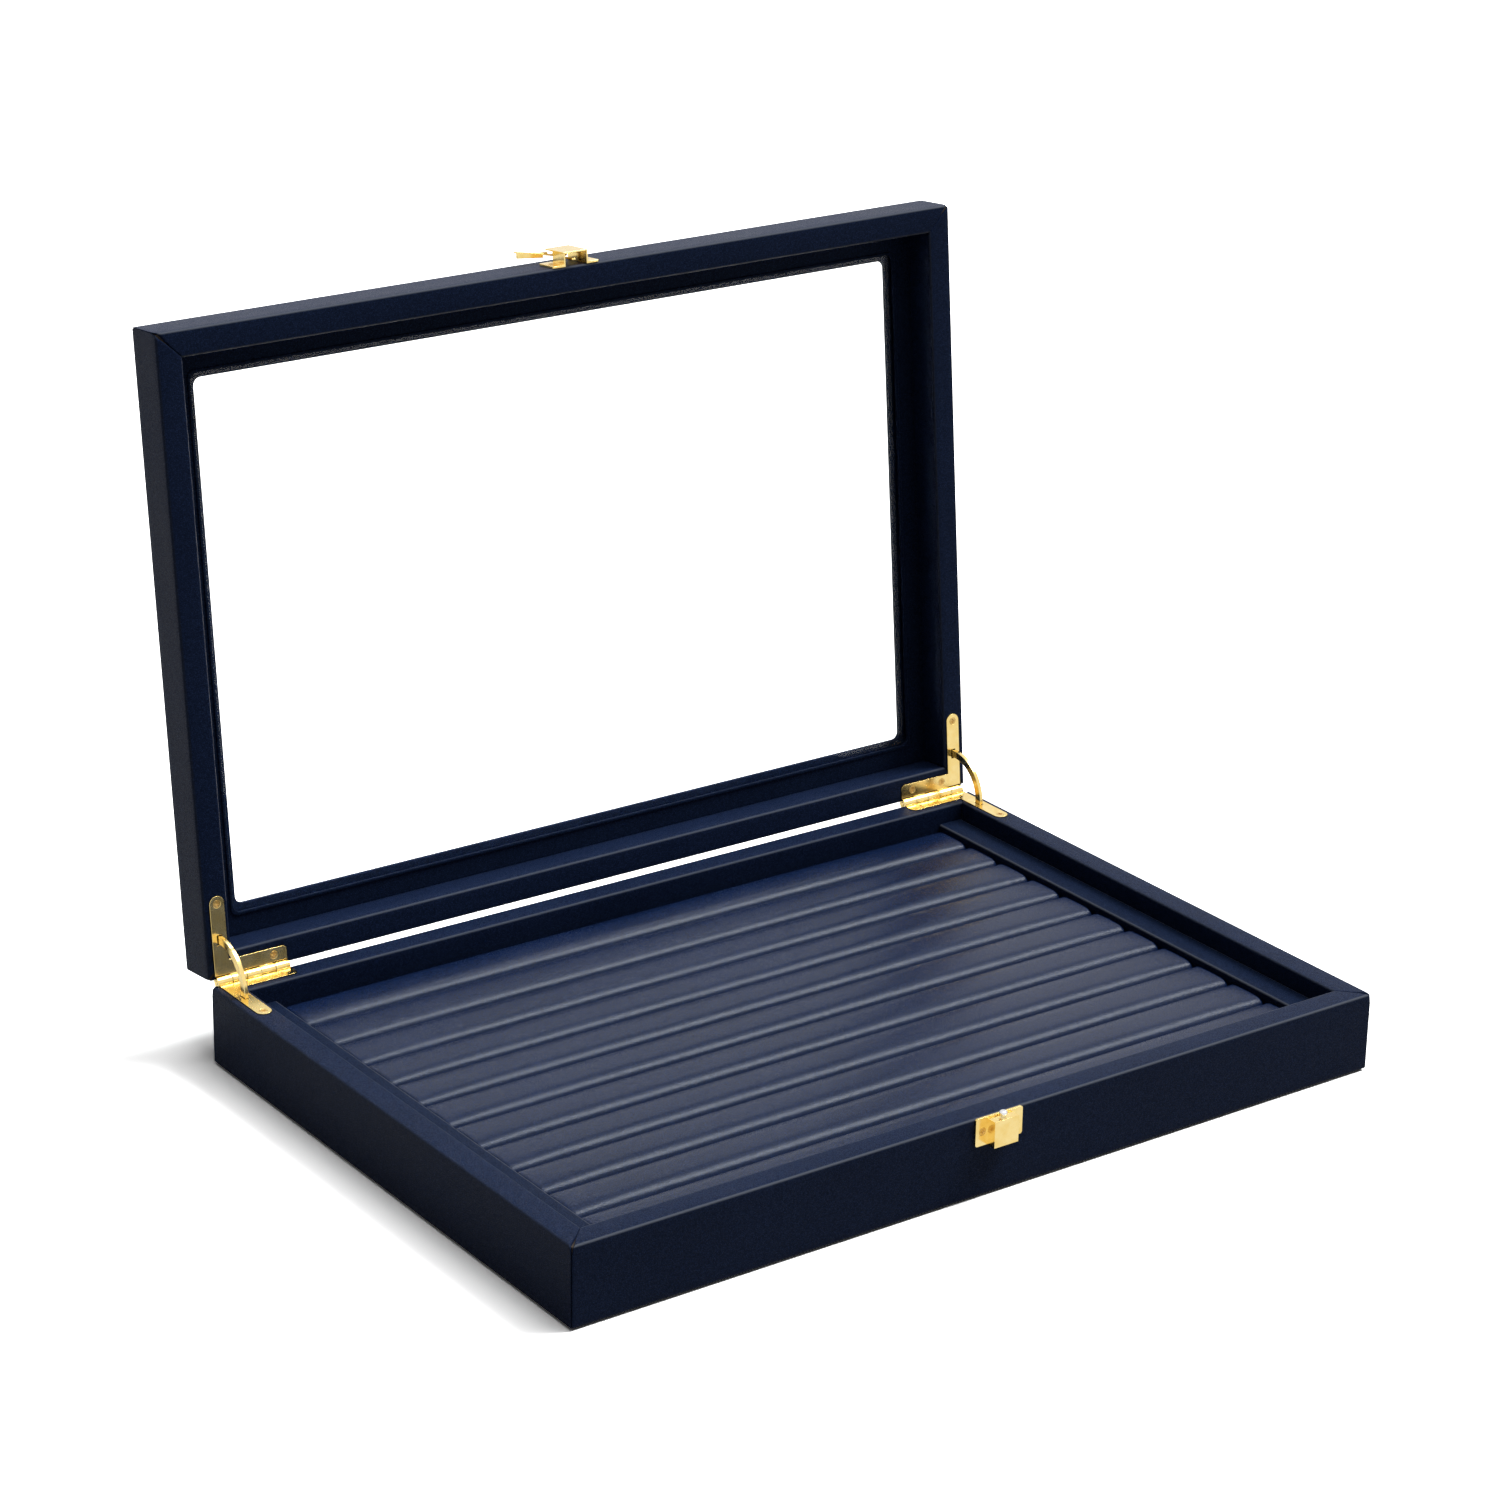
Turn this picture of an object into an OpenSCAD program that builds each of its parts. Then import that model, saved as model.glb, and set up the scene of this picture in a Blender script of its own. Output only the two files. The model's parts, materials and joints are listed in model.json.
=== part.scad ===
// Display box for small jewellery: a leatherette tray of padded bars under a
// hinged lid with a glass window. Millimetres. The origin is the middle of the
// underside, +X runs to the right, +Y to the back and +Z up. The lid is drawn
// closed and then swung open about the hinge axis.

/* [Box] */
// Outside width of the box
box_w = 350; // [300:5:400]
// Outside depth of the box
box_d = 240; // [200:5:280]
// Height of the base from the table to its rim
base_h = 31; // [28:0.5:40]
// Height of the lid frame
lid_h = 18; // [18:0.5:26]
// Gap between the rims when the lid is closed
rim_gap = 1; // [0.9:0.1:1.5]
// Angle between the rims when the lid stands open
lid_angle = 95.5; // [80:0.5:100]

/* [Walls] */
// Thickness of a wrapped wall
wall_t = 10; // [10:0.5:14]
// Thickness of the leatherette skin
skin_t = 0.8; // [0.5:0.1:1.2]
// Radius of the leatherette over an edge
edge_r = 0.8; // [0.5:0.1:1.2]
// Gap between two skins at a mitre
mitre_gap = 0.2; // [0.1:0.05:0.4]

/* [Floor] */
// Thickness of the felt under the box
felt_t = 0.6; // [0.4:0.1:1.5]
// Distance of the felt from the outside of the box
felt_inset = 1.5; // [1:0.5:4]
// Corner radius of the felt
felt_r = 3; // [1:0.5:6]
// Thickness of the floor board
floor_t = 3; // [2:0.5:4]
// How far the floor board reaches under the walls
floor_lap = 5; // [3:0.5:6]

/* [Tray] */
// Thickness of the board that carries the bars
tray_board_t = 2; // [1:0.5:3]
// Gap between the tray and the walls
tray_clear = 0.2; // [0.1:0.1:0.6]
// Width of the ledge along each side
ledge_w = 11.3; // [8:0.1:16]
// Drop from the rim to the top of a ledge
ledge_drop = 7.2; // [5:0.2:9]
// Radius along the inner edge of a ledge
ledge_r = 1; // [0.5:0.1:2]
// Number of padded bars, front to back
bar_count = 11; // [8:1:13]
// Gap between two bars at their widest
bar_gap = 0.9; // [0.6:0.1:2]
// Gap between the front and back of the tray and the outer bars
bar_row_gap = 1.7; // [0.8:0.1:3]
// Gap between the end of a bar and the ledge
bar_end_gap = 1.5; // [0.5:0.1:3]
// Drop from the rim to the crest of a bar
bar_drop = 8; // [6.5:0.1:11]
// How much lower a bar is at its ends than at its middle
bar_crown = 0.9; // [0.2:0.1:2]
// Radius over the end of a bar
bar_end_r = 2.6; // [1.5:0.1:4]
// How far the foot of a bar is drawn in on each side
bar_pull = 0.7; // [0.2:0.1:1.5]

/* [Window] */
// Distance from the outside of the lid to the window
window_margin = 21.3; // [18:0.1:30]
// Corner radius of the window
window_r = 3; // [1:0.5:8]
// Thickness of the top panel
panel_t = 1.5; // [1:0.1:2]
// Depth of the panel below the top of the lid
panel_sink = 0.7; // [0.3:0.1:1.2]
// How far the panel reaches into the rebate of the walls
panel_lap = 3; // [2:0.5:5]
// Thickness of the glass
glass_t = 1.6; // [1:0.1:2]
// How far the glass reaches past the window
glass_lap = 6.4; // [4:0.1:7]
// Distance from the window to the inner edge of the liner
liner_margin = 2.4; // [1:0.1:3.5]
// Thickness of the liner under the glass
liner_t = 0.8; // [0.5:0.1:1.5]
// Height of the bead along the inner edge of the liner
bead_h = 0.5; // [0.2:0.1:0.8]
// Width of that bead
bead_w = 1.2; // [0.8:0.1:1.6]

/* [Hinges] */
// Distance of the hinge axis behind the box
axis_out = 0.7; // [0.4:0.1:1.2]
// Length of the hinge barrel
barrel_l = 30; // [24:1:40]
// Diameter of the hinge barrel
barrel_d = 4; // [3.6:0.1:4.4]
// Distance from the side of the box to the outer end of the hinge
hinge_margin = 2.5; // [2:0.1:3]
// Number of knuckles on a barrel
knuckle_count = 5; // [3:2:7]
// Gap between two knuckles
knuckle_gap = 0.2; // [0.1:0.05:0.4]
// Diameter of the hinge pin
pin_d = 1.6; // [1.4:0.1:2]
// Gap round the hinge pin
pin_clear = 0.05; // [0.03:0.01:0.08]
// Thickness of a hinge leaf
leaf_t = 1.2; // [1:0.1:1.4]
// How far a leaf stands proud of the rim
leaf_proud = 0.3; // [0.1:0.05:0.35]
// Distance from the back of the box to the inner edge of the leaf
leaf_reach = 7; // [6:0.5:8]
// Distance from the back of the box to the tip of the side arm
arm_reach = 32; // [26:1:40]
// Width of the side arm
arm_w = 6; // [5:0.5:7]
// Corner radius of the leaf
leaf_r = 2; // [1:0.5:3]
// Distance of the first screw from the inner end of the leaf
butt_screw_in = 5.5; // [4:0.5:7]
// Distance of the second screw from the side arm
butt_screw_arm = 3.5; // [3:0.1:5]
// Clearance round the metal that is let into the walls
inlet_clear = 0.3; // [0.2:0.05:0.4]

/* [Stay] */
// Radius of the stay arm about the hinge axis
stay_r = 16; // [14:0.5:17]
// Width of the stay arm
stay_w = 3; // [2:0.1:3.2]
// Thickness of the stay arm
stay_t = 1.5; // [1:0.1:2]
// Angle by which each end of the stay stays in its slot
stay_bite_angle = 10; // [10:0.5:11]
// Angle taken up by the catch at each end of the stay
stay_catch_angle = 4.5; // [3:0.5:4.5]
// How far that catch stands out
stay_catch_h = 0.7; // [0.5:0.1:0.9]

/* [Screws] */
// Head diameter of the hinge and clasp screws
screw_head_d = 3; // [2.6:0.1:3.2]
// Height of the countersunk head
screw_head_h = 0.8; // [0.6:0.05:0.8]
// Shank diameter
screw_d = 1.6; // [1.2:0.1:1.8]
// Length under the face of the metal
screw_l = 7; // [5:0.5:8]
// Gap round a screw
screw_clear = 0.05; // [0.03:0.01:0.1]
// Width of the cross recess
cross_w = 0.45; // [0.3:0.05:0.6]
// Length of the cross recess
cross_l = 1.8; // [1.4:0.1:2]
// Depth of the cross recess
cross_deep = 0.4; // [0.3:0.05:0.5]

/* [Clasp] */
// Width of the clasp plates
clasp_w = 20.5; // [18:0.5:26]
// Thickness of the clasp metal
clasp_t = 0.8; // [0.6:0.05:0.9]
// Width of the raised boxes
clasp_box_w = 10.5; // [10:0.1:11]
// Wall of the raised boxes
clasp_wall = 0.6; // [0.4:0.05:0.7]
// Height of the plate on the base
base_plate_h = 10.6; // [9:0.2:13]
// Depth of the raised box on the base
base_box_d = 5; // [4.6:0.1:5.6]
// Drop from the rim to the top of the raised box
base_box_drop = 0.6; // [0.4:0.1:1.2]
// Height of the plate on the lid
lid_plate_h = 10; // [8:0.5:12]
// Depth of the channel on the lid
lid_box_d = 5.4; // [5:0.1:6]
// Length of the cover over that channel
cover_l = 13; // [13:0.2:15]
// Height of the open wall beside the lever
cover_wall_l = 8; // [7:0.2:8.2]
// Distance of the clasp screws from the middle
clasp_screw_x = 7.2; // [7:0.1:8]
// Corner radius of the clasp plates
clasp_r = 0.9; // [0.4:0.1:1.4]

/* [Stud and lever] */
// Diameter of the stud's head
stud_head_d = 2.9; // [2.4:0.1:3.2]
// Diameter of the stud's neck
stud_neck_d = 1.6; // [1.2:0.1:1.8]
// Height of the stud's neck
stud_neck_h = 1.1; // [1:0.05:1.4]
// Height of the stud's head
stud_head_h = 1.1; // [0.8:0.1:1.4]
// Chamfer round the stud's head
stud_chamfer = 0.4; // [0.2:0.1:0.6]
// Thickness of the stud's riveted tail
stud_tail_h = 0.6; // [0.4:0.1:1]
// How far that tail spreads past the neck
stud_tail_lap = 0.5; // [0.3:0.1:0.8]
// Distance of the stud from the front of the box
stud_out = 2.7; // [2.4:0.1:3]
// Thickness of the lever
lever_t = 0.7; // [0.5:0.05:0.9]
// Height of the lever's pivot above the lid's rim
pivot_h = 10.6; // [10.2:0.1:11]
// Diameter of the lever's rivet
rivet_d = 2; // [1.6:0.1:2.4]
// Gap round the rivet
rivet_clear = 0.05; // [0.03:0.01:0.08]
// How far the rivet's collar spreads past the rivet
collar_lap = 0.7; // [0.4:0.1:1]
// Gap between the lever and the collar
collar_gap = 0.15; // [0.1:0.05:0.3]
// Radius of the lever's hub
hub_r = 2.4; // [2:0.1:2.6]
// Reach of the thumb end to the left of the pivot
lever_reach = 18.5; // [15:0.5:24]
// Length of the flat web between the hub and the slope
hub_web = 0.4; // [0.2:0.1:1]
// Distance of the thumb end's lower edge above the pivot
thumb_up = 1; // [0:0.1:1.2]
// Slope of the thumb end away from the lid
lever_slope = 10.8; // [8:0.2:13]
// Width of the thumb end
lever_w = 2.2; // [1.6:0.1:2.6]
// Distance of the skirt's inner end from the pivot
skirt_start = 7; // [6:0.5:9]
// Depth of the skirt at the thumb end
skirt_d = 2.6; // [2:0.1:3]
// Depth of the skirt at its inner end
skirt_in_d = 1.6; // [1:0.1:1.8]
// Distance of the lip's inner end from the pivot
lip_start = 4; // [3:0.2:5]
// Distance of the lip's outer end from the pivot
lip_end = 9.6; // [8:0.2:12]
// Height of the lip along the thumb end's upper edge
lip_h = 0.7; // [0.4:0.1:0.8]
// Width of the hook arm
hook_w = 0.8; // [0.6:0.05:1]
// Height of the hook's tip
hook_h = 0.6; // [0.5:0.05:0.7]
// Gap between the hook's tip and the stud's neck
hook_neck_gap = 0.15; // [0.1:0.05:0.3]
// Gap between the hook arm and the stud's head
hook_arm_gap = 0.35; // [0.3:0.05:0.5]
// Gap between the hook and the underside of the stud's head
hook_head_gap = 0.2; // [0.1:0.05:0.3]
// Thickness of the spring wire
spring_wire = 0.5; // [0.4:0.05:0.6]
// Gap between the spring and the rivet and lever
spring_gap = 0.2; // [0.1:0.05:0.3]

/* [Hidden] */
$fn = 48;
eps = 0.01;

navy = [0.07, 0.09, 0.15];
slate = [0.16, 0.19, 0.27];
board = [0.55, 0.42, 0.28];
gilt = [0.86, 0.68, 0.25];
steel = [0.8, 0.8, 0.82];

// Heights
floor_top = felt_t + floor_t;
tray_floor = floor_top + tray_board_t;
ledge_z = base_h - ledge_drop;
bar_z = base_h - bar_drop;
lid_z = base_h + rim_gap;
lid_top = lid_z + lid_h;
panel_top = lid_top - panel_sink;
panel_low = panel_top - panel_t;
glass_low = panel_low - glass_t;
liner_low = glass_low - liner_t;

// Hinge axis
axis_y = box_d / 2 + axis_out;
axis_z = base_h + rim_gap / 2;
barrel_r = barrel_d / 2;
barrel_x1 = box_w / 2 - hinge_margin;
barrel_x0 = barrel_x1 - barrel_l;
knuckle_l = barrel_l / knuckle_count;
leaf_top = leaf_proud - rim_gap / 2;
arm_x = barrel_x1 - arm_w / 2;
butt_y = -(leaf_reach + axis_out);
arm_tip_y = -(arm_reach + axis_out);
butt_screw_y = (butt_y - barrel_r - inlet_clear) / 2;
butt_screw_dx = [butt_screw_in, barrel_l - arm_w - butt_screw_arm];
arm_screw_y = arm_tip_y + arm_w / 2;
stay_half = lid_angle / 2 + stay_bite_angle;
stay_out_r = stay_r + stay_w / 2;
stay_in_r = stay_r - stay_w / 2;
catch_r = stay_out_r + stay_catch_h;

// Tray
inner_w = box_w - 2 * wall_t;
inner_d = box_d - 2 * wall_t;
tray_w = inner_w - 2 * tray_clear;
tray_d = inner_d - 2 * tray_clear;
bar_pitch = (tray_d - 2 * bar_row_gap + bar_gap) / bar_count;
bar_w = bar_pitch - bar_gap;
bar_l = tray_w - 2 * ledge_w - 2 * bar_end_gap;
bar_h = bar_z - tray_floor;

// Window
window_w = box_w - 2 * window_margin;
window_d = box_d - 2 * window_margin;

// Clasp
base_box_z = base_h - base_box_drop;
stud_neck_top = base_box_z + stud_neck_h;
lever_low = stud_out - lever_t / 2;
lever_high = stud_out + lever_t / 2;
thumb_x = -(hub_r + hub_web);
hook_tip_x = -(stud_neck_d / 2 + hook_neck_gap);
hook_x = -(stud_head_d / 2 + hook_arm_gap);
hook_low = stud_neck_top - hook_head_gap - hook_h - lid_z;

// Rounded rectangle from its low corner
module soft_rect(size, r) {
    translate([r, 0]) square([size[0] - 2 * r, size[1]]);
    translate([0, r]) square([size[0], size[1] - 2 * r]);
    for (x = [r, size[0] - r])
        for (y = [r, size[1] - r])
            translate([x, y]) circle(r);
}

module soft_rect_mid(size, r) {
    translate([-size[0] / 2, -size[1] / 2]) soft_rect(size, r);
}

// Puts a wall drawn along X, with Y running inwards from its outer face, on its side of the box
module on_side(side) {
    if (side == "front") translate([0, -box_d / 2, 0]) children();
    if (side == "back") translate([0, box_d / 2, 0]) rotate(180) children();
    if (side == "left") translate([-box_w / 2, 0, 0]) rotate(-90) children();
    if (side == "right") translate([box_w / 2, 0, 0]) rotate(90) children();
}

function side_length(side) = side == "front" || side == "back" ? box_w : box_d;

// Sweeps a wall section along its side and mitres both ends
module mitred_wall(side, pull) {
    half = side_length(side) / 2;
    on_side(side) intersection() {
        translate([-half, 0, 0]) rotate([90, 0, 90]) linear_extrude(2 * half) children();
        linear_extrude(lid_top + base_h) polygon([
            [-half + pull, 0],
            [half - pull, 0],
            [half - pull - wall_t - 1, wall_t + 1],
            [-half + pull + wall_t + 1, wall_t + 1]
        ]);
    }
}

// Swings what is drawn closed to the open position
module opened() {
    translate([0, axis_y, axis_z]) rotate([-lid_angle, 0, 0])
        translate([0, -axis_y, -axis_z]) children();
}

// Section of a base wall: its wooden core
module base_core_section() {
    difference() {
        translate([skin_t, felt_t + skin_t])
            square([wall_t - 2 * skin_t, base_h - felt_t - 2 * skin_t]);
        translate([wall_t - floor_lap, 0]) square([floor_lap, floor_top]);
    }
}

// Section of a base wall: the skin round that core
module base_skin_section() {
    difference() {
        translate([0, felt_t]) soft_rect([wall_t, base_h - felt_t], edge_r);
        translate([skin_t, felt_t + skin_t])
            square([wall_t - 2 * skin_t, base_h - felt_t - 2 * skin_t]);
        translate([wall_t - floor_lap, 0]) square([floor_lap + 1, floor_top]);
    }
}

module lid_rebate() {
    translate([wall_t - panel_lap, panel_low]) square([panel_lap + 1, lid_h]);
}

module lid_core_section() {
    difference() {
        translate([skin_t, lid_z + skin_t]) square([wall_t - 2 * skin_t, lid_h - 2 * skin_t]);
        lid_rebate();
    }
}

module lid_skin_section() {
    difference() {
        translate([0, lid_z]) soft_rect([wall_t, lid_h], edge_r);
        translate([skin_t, lid_z + skin_t]) square([wall_t - 2 * skin_t, lid_h - 2 * skin_t]);
        lid_rebate();
    }
}

// Rounds the upright corners of a skin
module box_outline(z0, h) {
    translate([0, 0, z0]) linear_extrude(h) soft_rect_mid([box_w, box_d], edge_r);
}

// Draws the right-hand hinge's parts about its axis, on both back corners
module at_hinge(side) {
    if (side == "right") translate([0, axis_y, axis_z]) children();
    if (side == "left") mirror([1, 0, 0]) translate([0, axis_y, axis_z]) children();
}

// Outline of a hinge leaf seen from above, with Y measured from the axis
module leaf_outline(grow) {
    x0 = barrel_x0 - grow;
    x1 = barrel_x1 + grow;
    y0 = butt_y - grow;
    translate([x0 + leaf_r, y0]) square([x1 - x0 - leaf_r, -y0]);
    translate([x0, y0 + leaf_r]) square([x1 - x0, -y0 - leaf_r]);
    translate([x0 + leaf_r, y0 + leaf_r]) circle(leaf_r);
    translate([arm_x - arm_w / 2 - grow, arm_screw_y]) square([arm_w + 2 * grow, -arm_screw_y]);
    translate([arm_x, arm_screw_y]) circle(arm_w / 2 + grow);
}

// Places of a leaf's three screws, measured from the axis
function leaf_screws() = [
    [barrel_x0 + butt_screw_dx[0], butt_screw_y],
    [barrel_x0 + butt_screw_dx[1], butt_screw_y],
    [arm_x, arm_screw_y]
];

// Countersunk screw with its face at Z = 0 and its shank pointing down
module screw() {
    difference() {
        rotate_extrude() polygon([
            [0, 0],
            [screw_head_d / 2, 0],
            [screw_d / 2, -screw_head_h],
            [screw_d / 2, -screw_l + screw_d / 2],
            [0, -screw_l]
        ]);
        for (a = [0, 90])
            rotate(a) translate([-cross_l / 2, -cross_w / 2, -cross_deep])
                cube([cross_l, cross_w, cross_deep + 1]);
    }
}

// Room for that screw
module screw_hole() {
    g = screw_clear;
    rotate_extrude() polygon([
        [0, 1],
        [screw_head_d / 2 + g, 1],
        [screw_head_d / 2 + g, 0],
        [screw_d / 2 + g, -screw_head_h],
        [screw_d / 2 + g, -screw_l + screw_d / 2 - g],
        [0, -screw_l - g]
    ]);
}

// X span of one knuckle
function knuckle_start(i) = barrel_x0 + i * knuckle_l + knuckle_gap / 2;

// One hinge leaf, drawn below the axis plane; first is the number of its first knuckle
module leaf(first) {
    difference() {
        union() {
            difference() {
                translate([0, 0, leaf_top - leaf_t]) linear_extrude(leaf_t) leaf_outline(0);
                translate([barrel_x0 - 1, 0, 0]) rotate([0, 90, 0])
                    cylinder(h = barrel_l + 2, r = barrel_r + inlet_clear);
            }
            for (i = [first : 2 : knuckle_count - 1])
                translate([knuckle_start(i), 0, 0]) {
                    rotate([0, 90, 0]) cylinder(h = knuckle_l - knuckle_gap, r = barrel_r);
                    translate([0, -barrel_r - 1, leaf_top - leaf_t])
                        cube([knuckle_l - knuckle_gap, barrel_r + 1, leaf_t]);
                }
        }
        translate([barrel_x0 - 1, 0, 0]) rotate([0, 90, 0])
            cylinder(h = barrel_l + 2, r = pin_d / 2 + pin_clear);
        translate([arm_x - stay_t / 2 - inlet_clear, -stay_out_r - inlet_clear, -stay_r])
            cube([stay_t + 2 * inlet_clear, stay_w + 3 * inlet_clear, stay_r]);
        for (p = leaf_screws())
            translate([p[0], p[1], leaf_top]) screw_hole();
    }
}

// Everything that is cut out of the walls for one leaf
module leaf_cut() {
    translate([0, 0, leaf_top - leaf_t]) linear_extrude(leaf_t + 1) leaf_outline(inlet_clear);
    translate([barrel_x0 - inlet_clear, 0, 0]) rotate([0, 90, 0])
        cylinder(h = barrel_l + 2 * inlet_clear, r = barrel_r + inlet_clear);
    deep = catch_r * sin(stay_half) + inlet_clear;
    near = stay_in_r * cos(stay_half) - inlet_clear;
    translate([arm_x - stay_t / 2 - inlet_clear, -catch_r - inlet_clear, -deep])
        cube([stay_t + 2 * inlet_clear, catch_r + inlet_clear - near, deep]);
    for (p = leaf_screws())
        translate([p[0], p[1], leaf_top]) screw_hole();
}

module leaf_screw_set() {
    for (p = leaf_screws())
        translate([p[0], p[1], leaf_top]) screw();
}

module both_leaf_cuts() {
    for (side = ["left", "right"])
        at_hinge(side) children();
}

// Places of the clasp's holes in the front walls
module clasp_screws_at(z) {
    for (x = [-clasp_screw_x, clasp_screw_x])
        translate([x, -box_d / 2 - clasp_t, z]) rotate([90, 0, 0]) children();
}

base_screw_z = base_h - base_plate_h / 2;
lid_screw_z = lid_z + lid_plate_h / 2;

module base_cuts() {
    both_leaf_cuts() leaf_cut();
    clasp_screws_at(base_screw_z) screw_hole();
}

module lid_cuts() {
    both_leaf_cuts() mirror([0, 0, 1]) leaf_cut();
    clasp_screws_at(lid_screw_z) screw_hole();
}

module base_core(side) {
    color(board) difference() {
        mitred_wall(side, 0) base_core_section();
        base_cuts();
    }
}

module base_skin(side) {
    color(navy) difference() {
        intersection() {
            mitred_wall(side, mitre_gap / 2) base_skin_section();
            box_outline(0, base_h + 1);
        }
        base_cuts();
    }
}

module lid_core(side) {
    color(board) opened() difference() {
        mitred_wall(side, 0) lid_core_section();
        lid_cuts();
    }
}

module lid_skin(side) {
    color(navy) opened() difference() {
        intersection() {
            mitred_wall(side, mitre_gap / 2) lid_skin_section();
            box_outline(lid_z, lid_h);
        }
        lid_cuts();
    }
}

module base_floor() {
    w = inner_w + 2 * floor_lap;
    d = inner_d + 2 * floor_lap;
    color(board) translate([-w / 2, -d / 2, felt_t]) cube([w, d, floor_t]);
}

module underside_felt() {
    size = [box_w - 2 * felt_inset, box_d - 2 * felt_inset];
    color([0.05, 0.05, 0.06]) linear_extrude(felt_t) soft_rect_mid(size, felt_r);
}

module tray_board() {
    color(board) translate([-tray_w / 2, -tray_d / 2, floor_top])
        cube([tray_w, tray_d, tray_board_t]);
}

// Ledge along one side of the tray, with its inner top edge rounded
module tray_ledge(sign) {
    h = ledge_z - tray_floor;
    x0 = sign > 0 ? tray_w / 2 - ledge_w : -tray_w / 2;
    color(slate) translate([x0, tray_d / 2, tray_floor]) rotate([90, 0, 0])
        linear_extrude(tray_d) {
            square([ledge_w, h - ledge_r]);
            translate([ledge_r, 0]) square([ledge_w - 2 * ledge_r, h]);
            for (x = [ledge_r, ledge_w - ledge_r])
                translate([x, h - ledge_r]) circle(ledge_r);
        }
}

// One padded bar. A ring of points is a squared-off oval with a flat foot; the
// rings shrink over a quarter circle at each end and their crest sinks with the
// fourth power of the distance from the middle.
bar_ring = 16;
bar_stations = concat(
    [for (a = [0 : 30 : 90]) -bar_l / 2 + bar_end_r * (1 - cos(a))],
    [for (i = [1 : 5]) -bar_l / 2 + bar_end_r + i * (bar_l - 2 * bar_end_r) / 6],
    [for (a = [90 : -30 : 0]) bar_l / 2 - bar_end_r * (1 - cos(a))]
);

function bar_inset(x) =
    let (s = min(bar_end_r, bar_l / 2 - abs(x)))
    bar_end_r - sqrt(max(0, bar_end_r * bar_end_r - pow(bar_end_r - s, 2)));

function bar_crest(x) = bar_h - bar_crown * pow(abs(2 * x / bar_l), 4) - bar_inset(x);

function squared(v) = sign(v) * pow(abs(v), 0.42);

function bar_point(x, a) =
    let (top = bar_crest(x))
    let (u = squared(sin(a)))
    let (z = max(0, top / 2 * (1 + u)))
    let (half = bar_w / 2 - bar_inset(x) - bar_pull * pow(1 - z / top, 2))
    [x, half * squared(cos(a)), z];

bar_points = [
    for (x = bar_stations)
        for (k = [0 : bar_ring - 1]) bar_point(x, (k + 0.5) * 360 / bar_ring)
];

bar_faces = concat(
    [for (k = [1 : bar_ring - 2]) [0, k + 1, k]],
    [
        for (s = [0 : len(bar_stations) - 2])
            for (k = [0 : bar_ring - 1])
                let (a = s * bar_ring + k, b = s * bar_ring + (k + 1) % bar_ring)
                each [[a, b, b + bar_ring], [a, b + bar_ring, a + bar_ring]]
    ],
    [
        for (k = [1 : bar_ring - 2])
            let (a = (len(bar_stations) - 1) * bar_ring)
            [a, a + k, a + k + 1]
    ]
);

function bar_name(i) = str("padded_bar_", i < 10 ? "0" : "", i);

module padded_bar(number) {
    y = -tray_d / 2 + bar_row_gap + bar_w / 2 + (number - 1) * bar_pitch;
    color(slate) translate([0, y, tray_floor]) polyhedron(bar_points, bar_faces);
}

module hinge_base_leaf(side) {
    color(gilt) at_hinge(side) leaf(0);
}

module hinge_base_screws(side) {
    color(gilt) at_hinge(side) leaf_screw_set();
}

module hinge_pin(side) {
    color(gilt) at_hinge(side) translate([barrel_x0, 0, 0]) rotate([0, 90, 0])
        cylinder(h = barrel_l, d = pin_d);
}

module hinge_lid_leaf(side) {
    color(gilt) opened() at_hinge(side) mirror([0, 0, 1]) leaf(1);
}

module hinge_lid_screws(side) {
    color(gilt) opened() at_hinge(side) mirror([0, 0, 1]) leaf_screw_set();
}

// Slice of a disc between two angles, wide enough for a disc of the given radius
module slice(r, from, to) {
    mid = (from + to) / 2;
    polygon([
        [0, 0],
        2 * r * [cos(from), sin(from)],
        2 * r * [cos(mid), sin(mid)],
        2 * r * [cos(to), sin(to)]
    ]);
}

// Side view of the stay about the hinge axis: an arc with a catch at each end.
// Angles are measured from the base's rim plane upwards.
module stay_outline() {
    low = lid_angle / 2 - stay_half;
    high = lid_angle / 2 + stay_half;
    difference() {
        intersection() {
            circle(catch_r);
            slice(catch_r, low, high);
        }
        circle(stay_in_r);
        intersection() {
            difference() {
                circle(catch_r + 1);
                circle(stay_out_r);
            }
            slice(catch_r + 1, low + stay_catch_angle, high - stay_catch_angle);
        }
    }
}

module stay_arm(side) {
    color(gilt) at_hinge(side) translate([arm_x + stay_t / 2, 0, 0])
        rotate([90, 0, -90]) linear_extrude(stay_t) stay_outline();
}

// Top panel, glass and liner, one on the other behind the window
module window_hole(extra, h) {
    linear_extrude(h) soft_rect_mid([window_w + 2 * extra, window_d + 2 * extra], window_r);
}

module lid_top_panel() {
    w = inner_w + 2 * panel_lap;
    d = inner_d + 2 * panel_lap;
    color(navy) opened() translate([0, 0, panel_low]) difference() {
        translate([-w / 2, -d / 2, 0]) cube([w, d, panel_t]);
        translate([0, 0, -1]) window_hole(0, panel_t + 2);
    }
}

module glass_pane() {
    w = window_w + 2 * glass_lap;
    d = window_d + 2 * glass_lap;
    color([0.9, 0.95, 0.95, 0.3]) opened() translate([-w / 2, -d / 2, glass_low])
        cube([w, d, glass_t]);
}

// Frame under the glass, rebated for it, with a bead round its inner edge
module lid_liner() {
    gw = window_w + 2 * glass_lap;
    gd = window_d + 2 * glass_lap;
    color(slate) opened() difference() {
        union() {
            translate([-inner_w / 2, -inner_d / 2, liner_low])
                cube([inner_w, inner_d, glass_t + liner_t]);
            translate([0, 0, liner_low - bead_h]) window_hole(liner_margin + bead_w, bead_h + eps);
        }
        translate([-gw / 2, -gd / 2, glass_low]) cube([gw, gd, glass_t + 1]);
        translate([0, 0, liner_low - 2]) window_hole(liner_margin, lid_h);
    }
}

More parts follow.
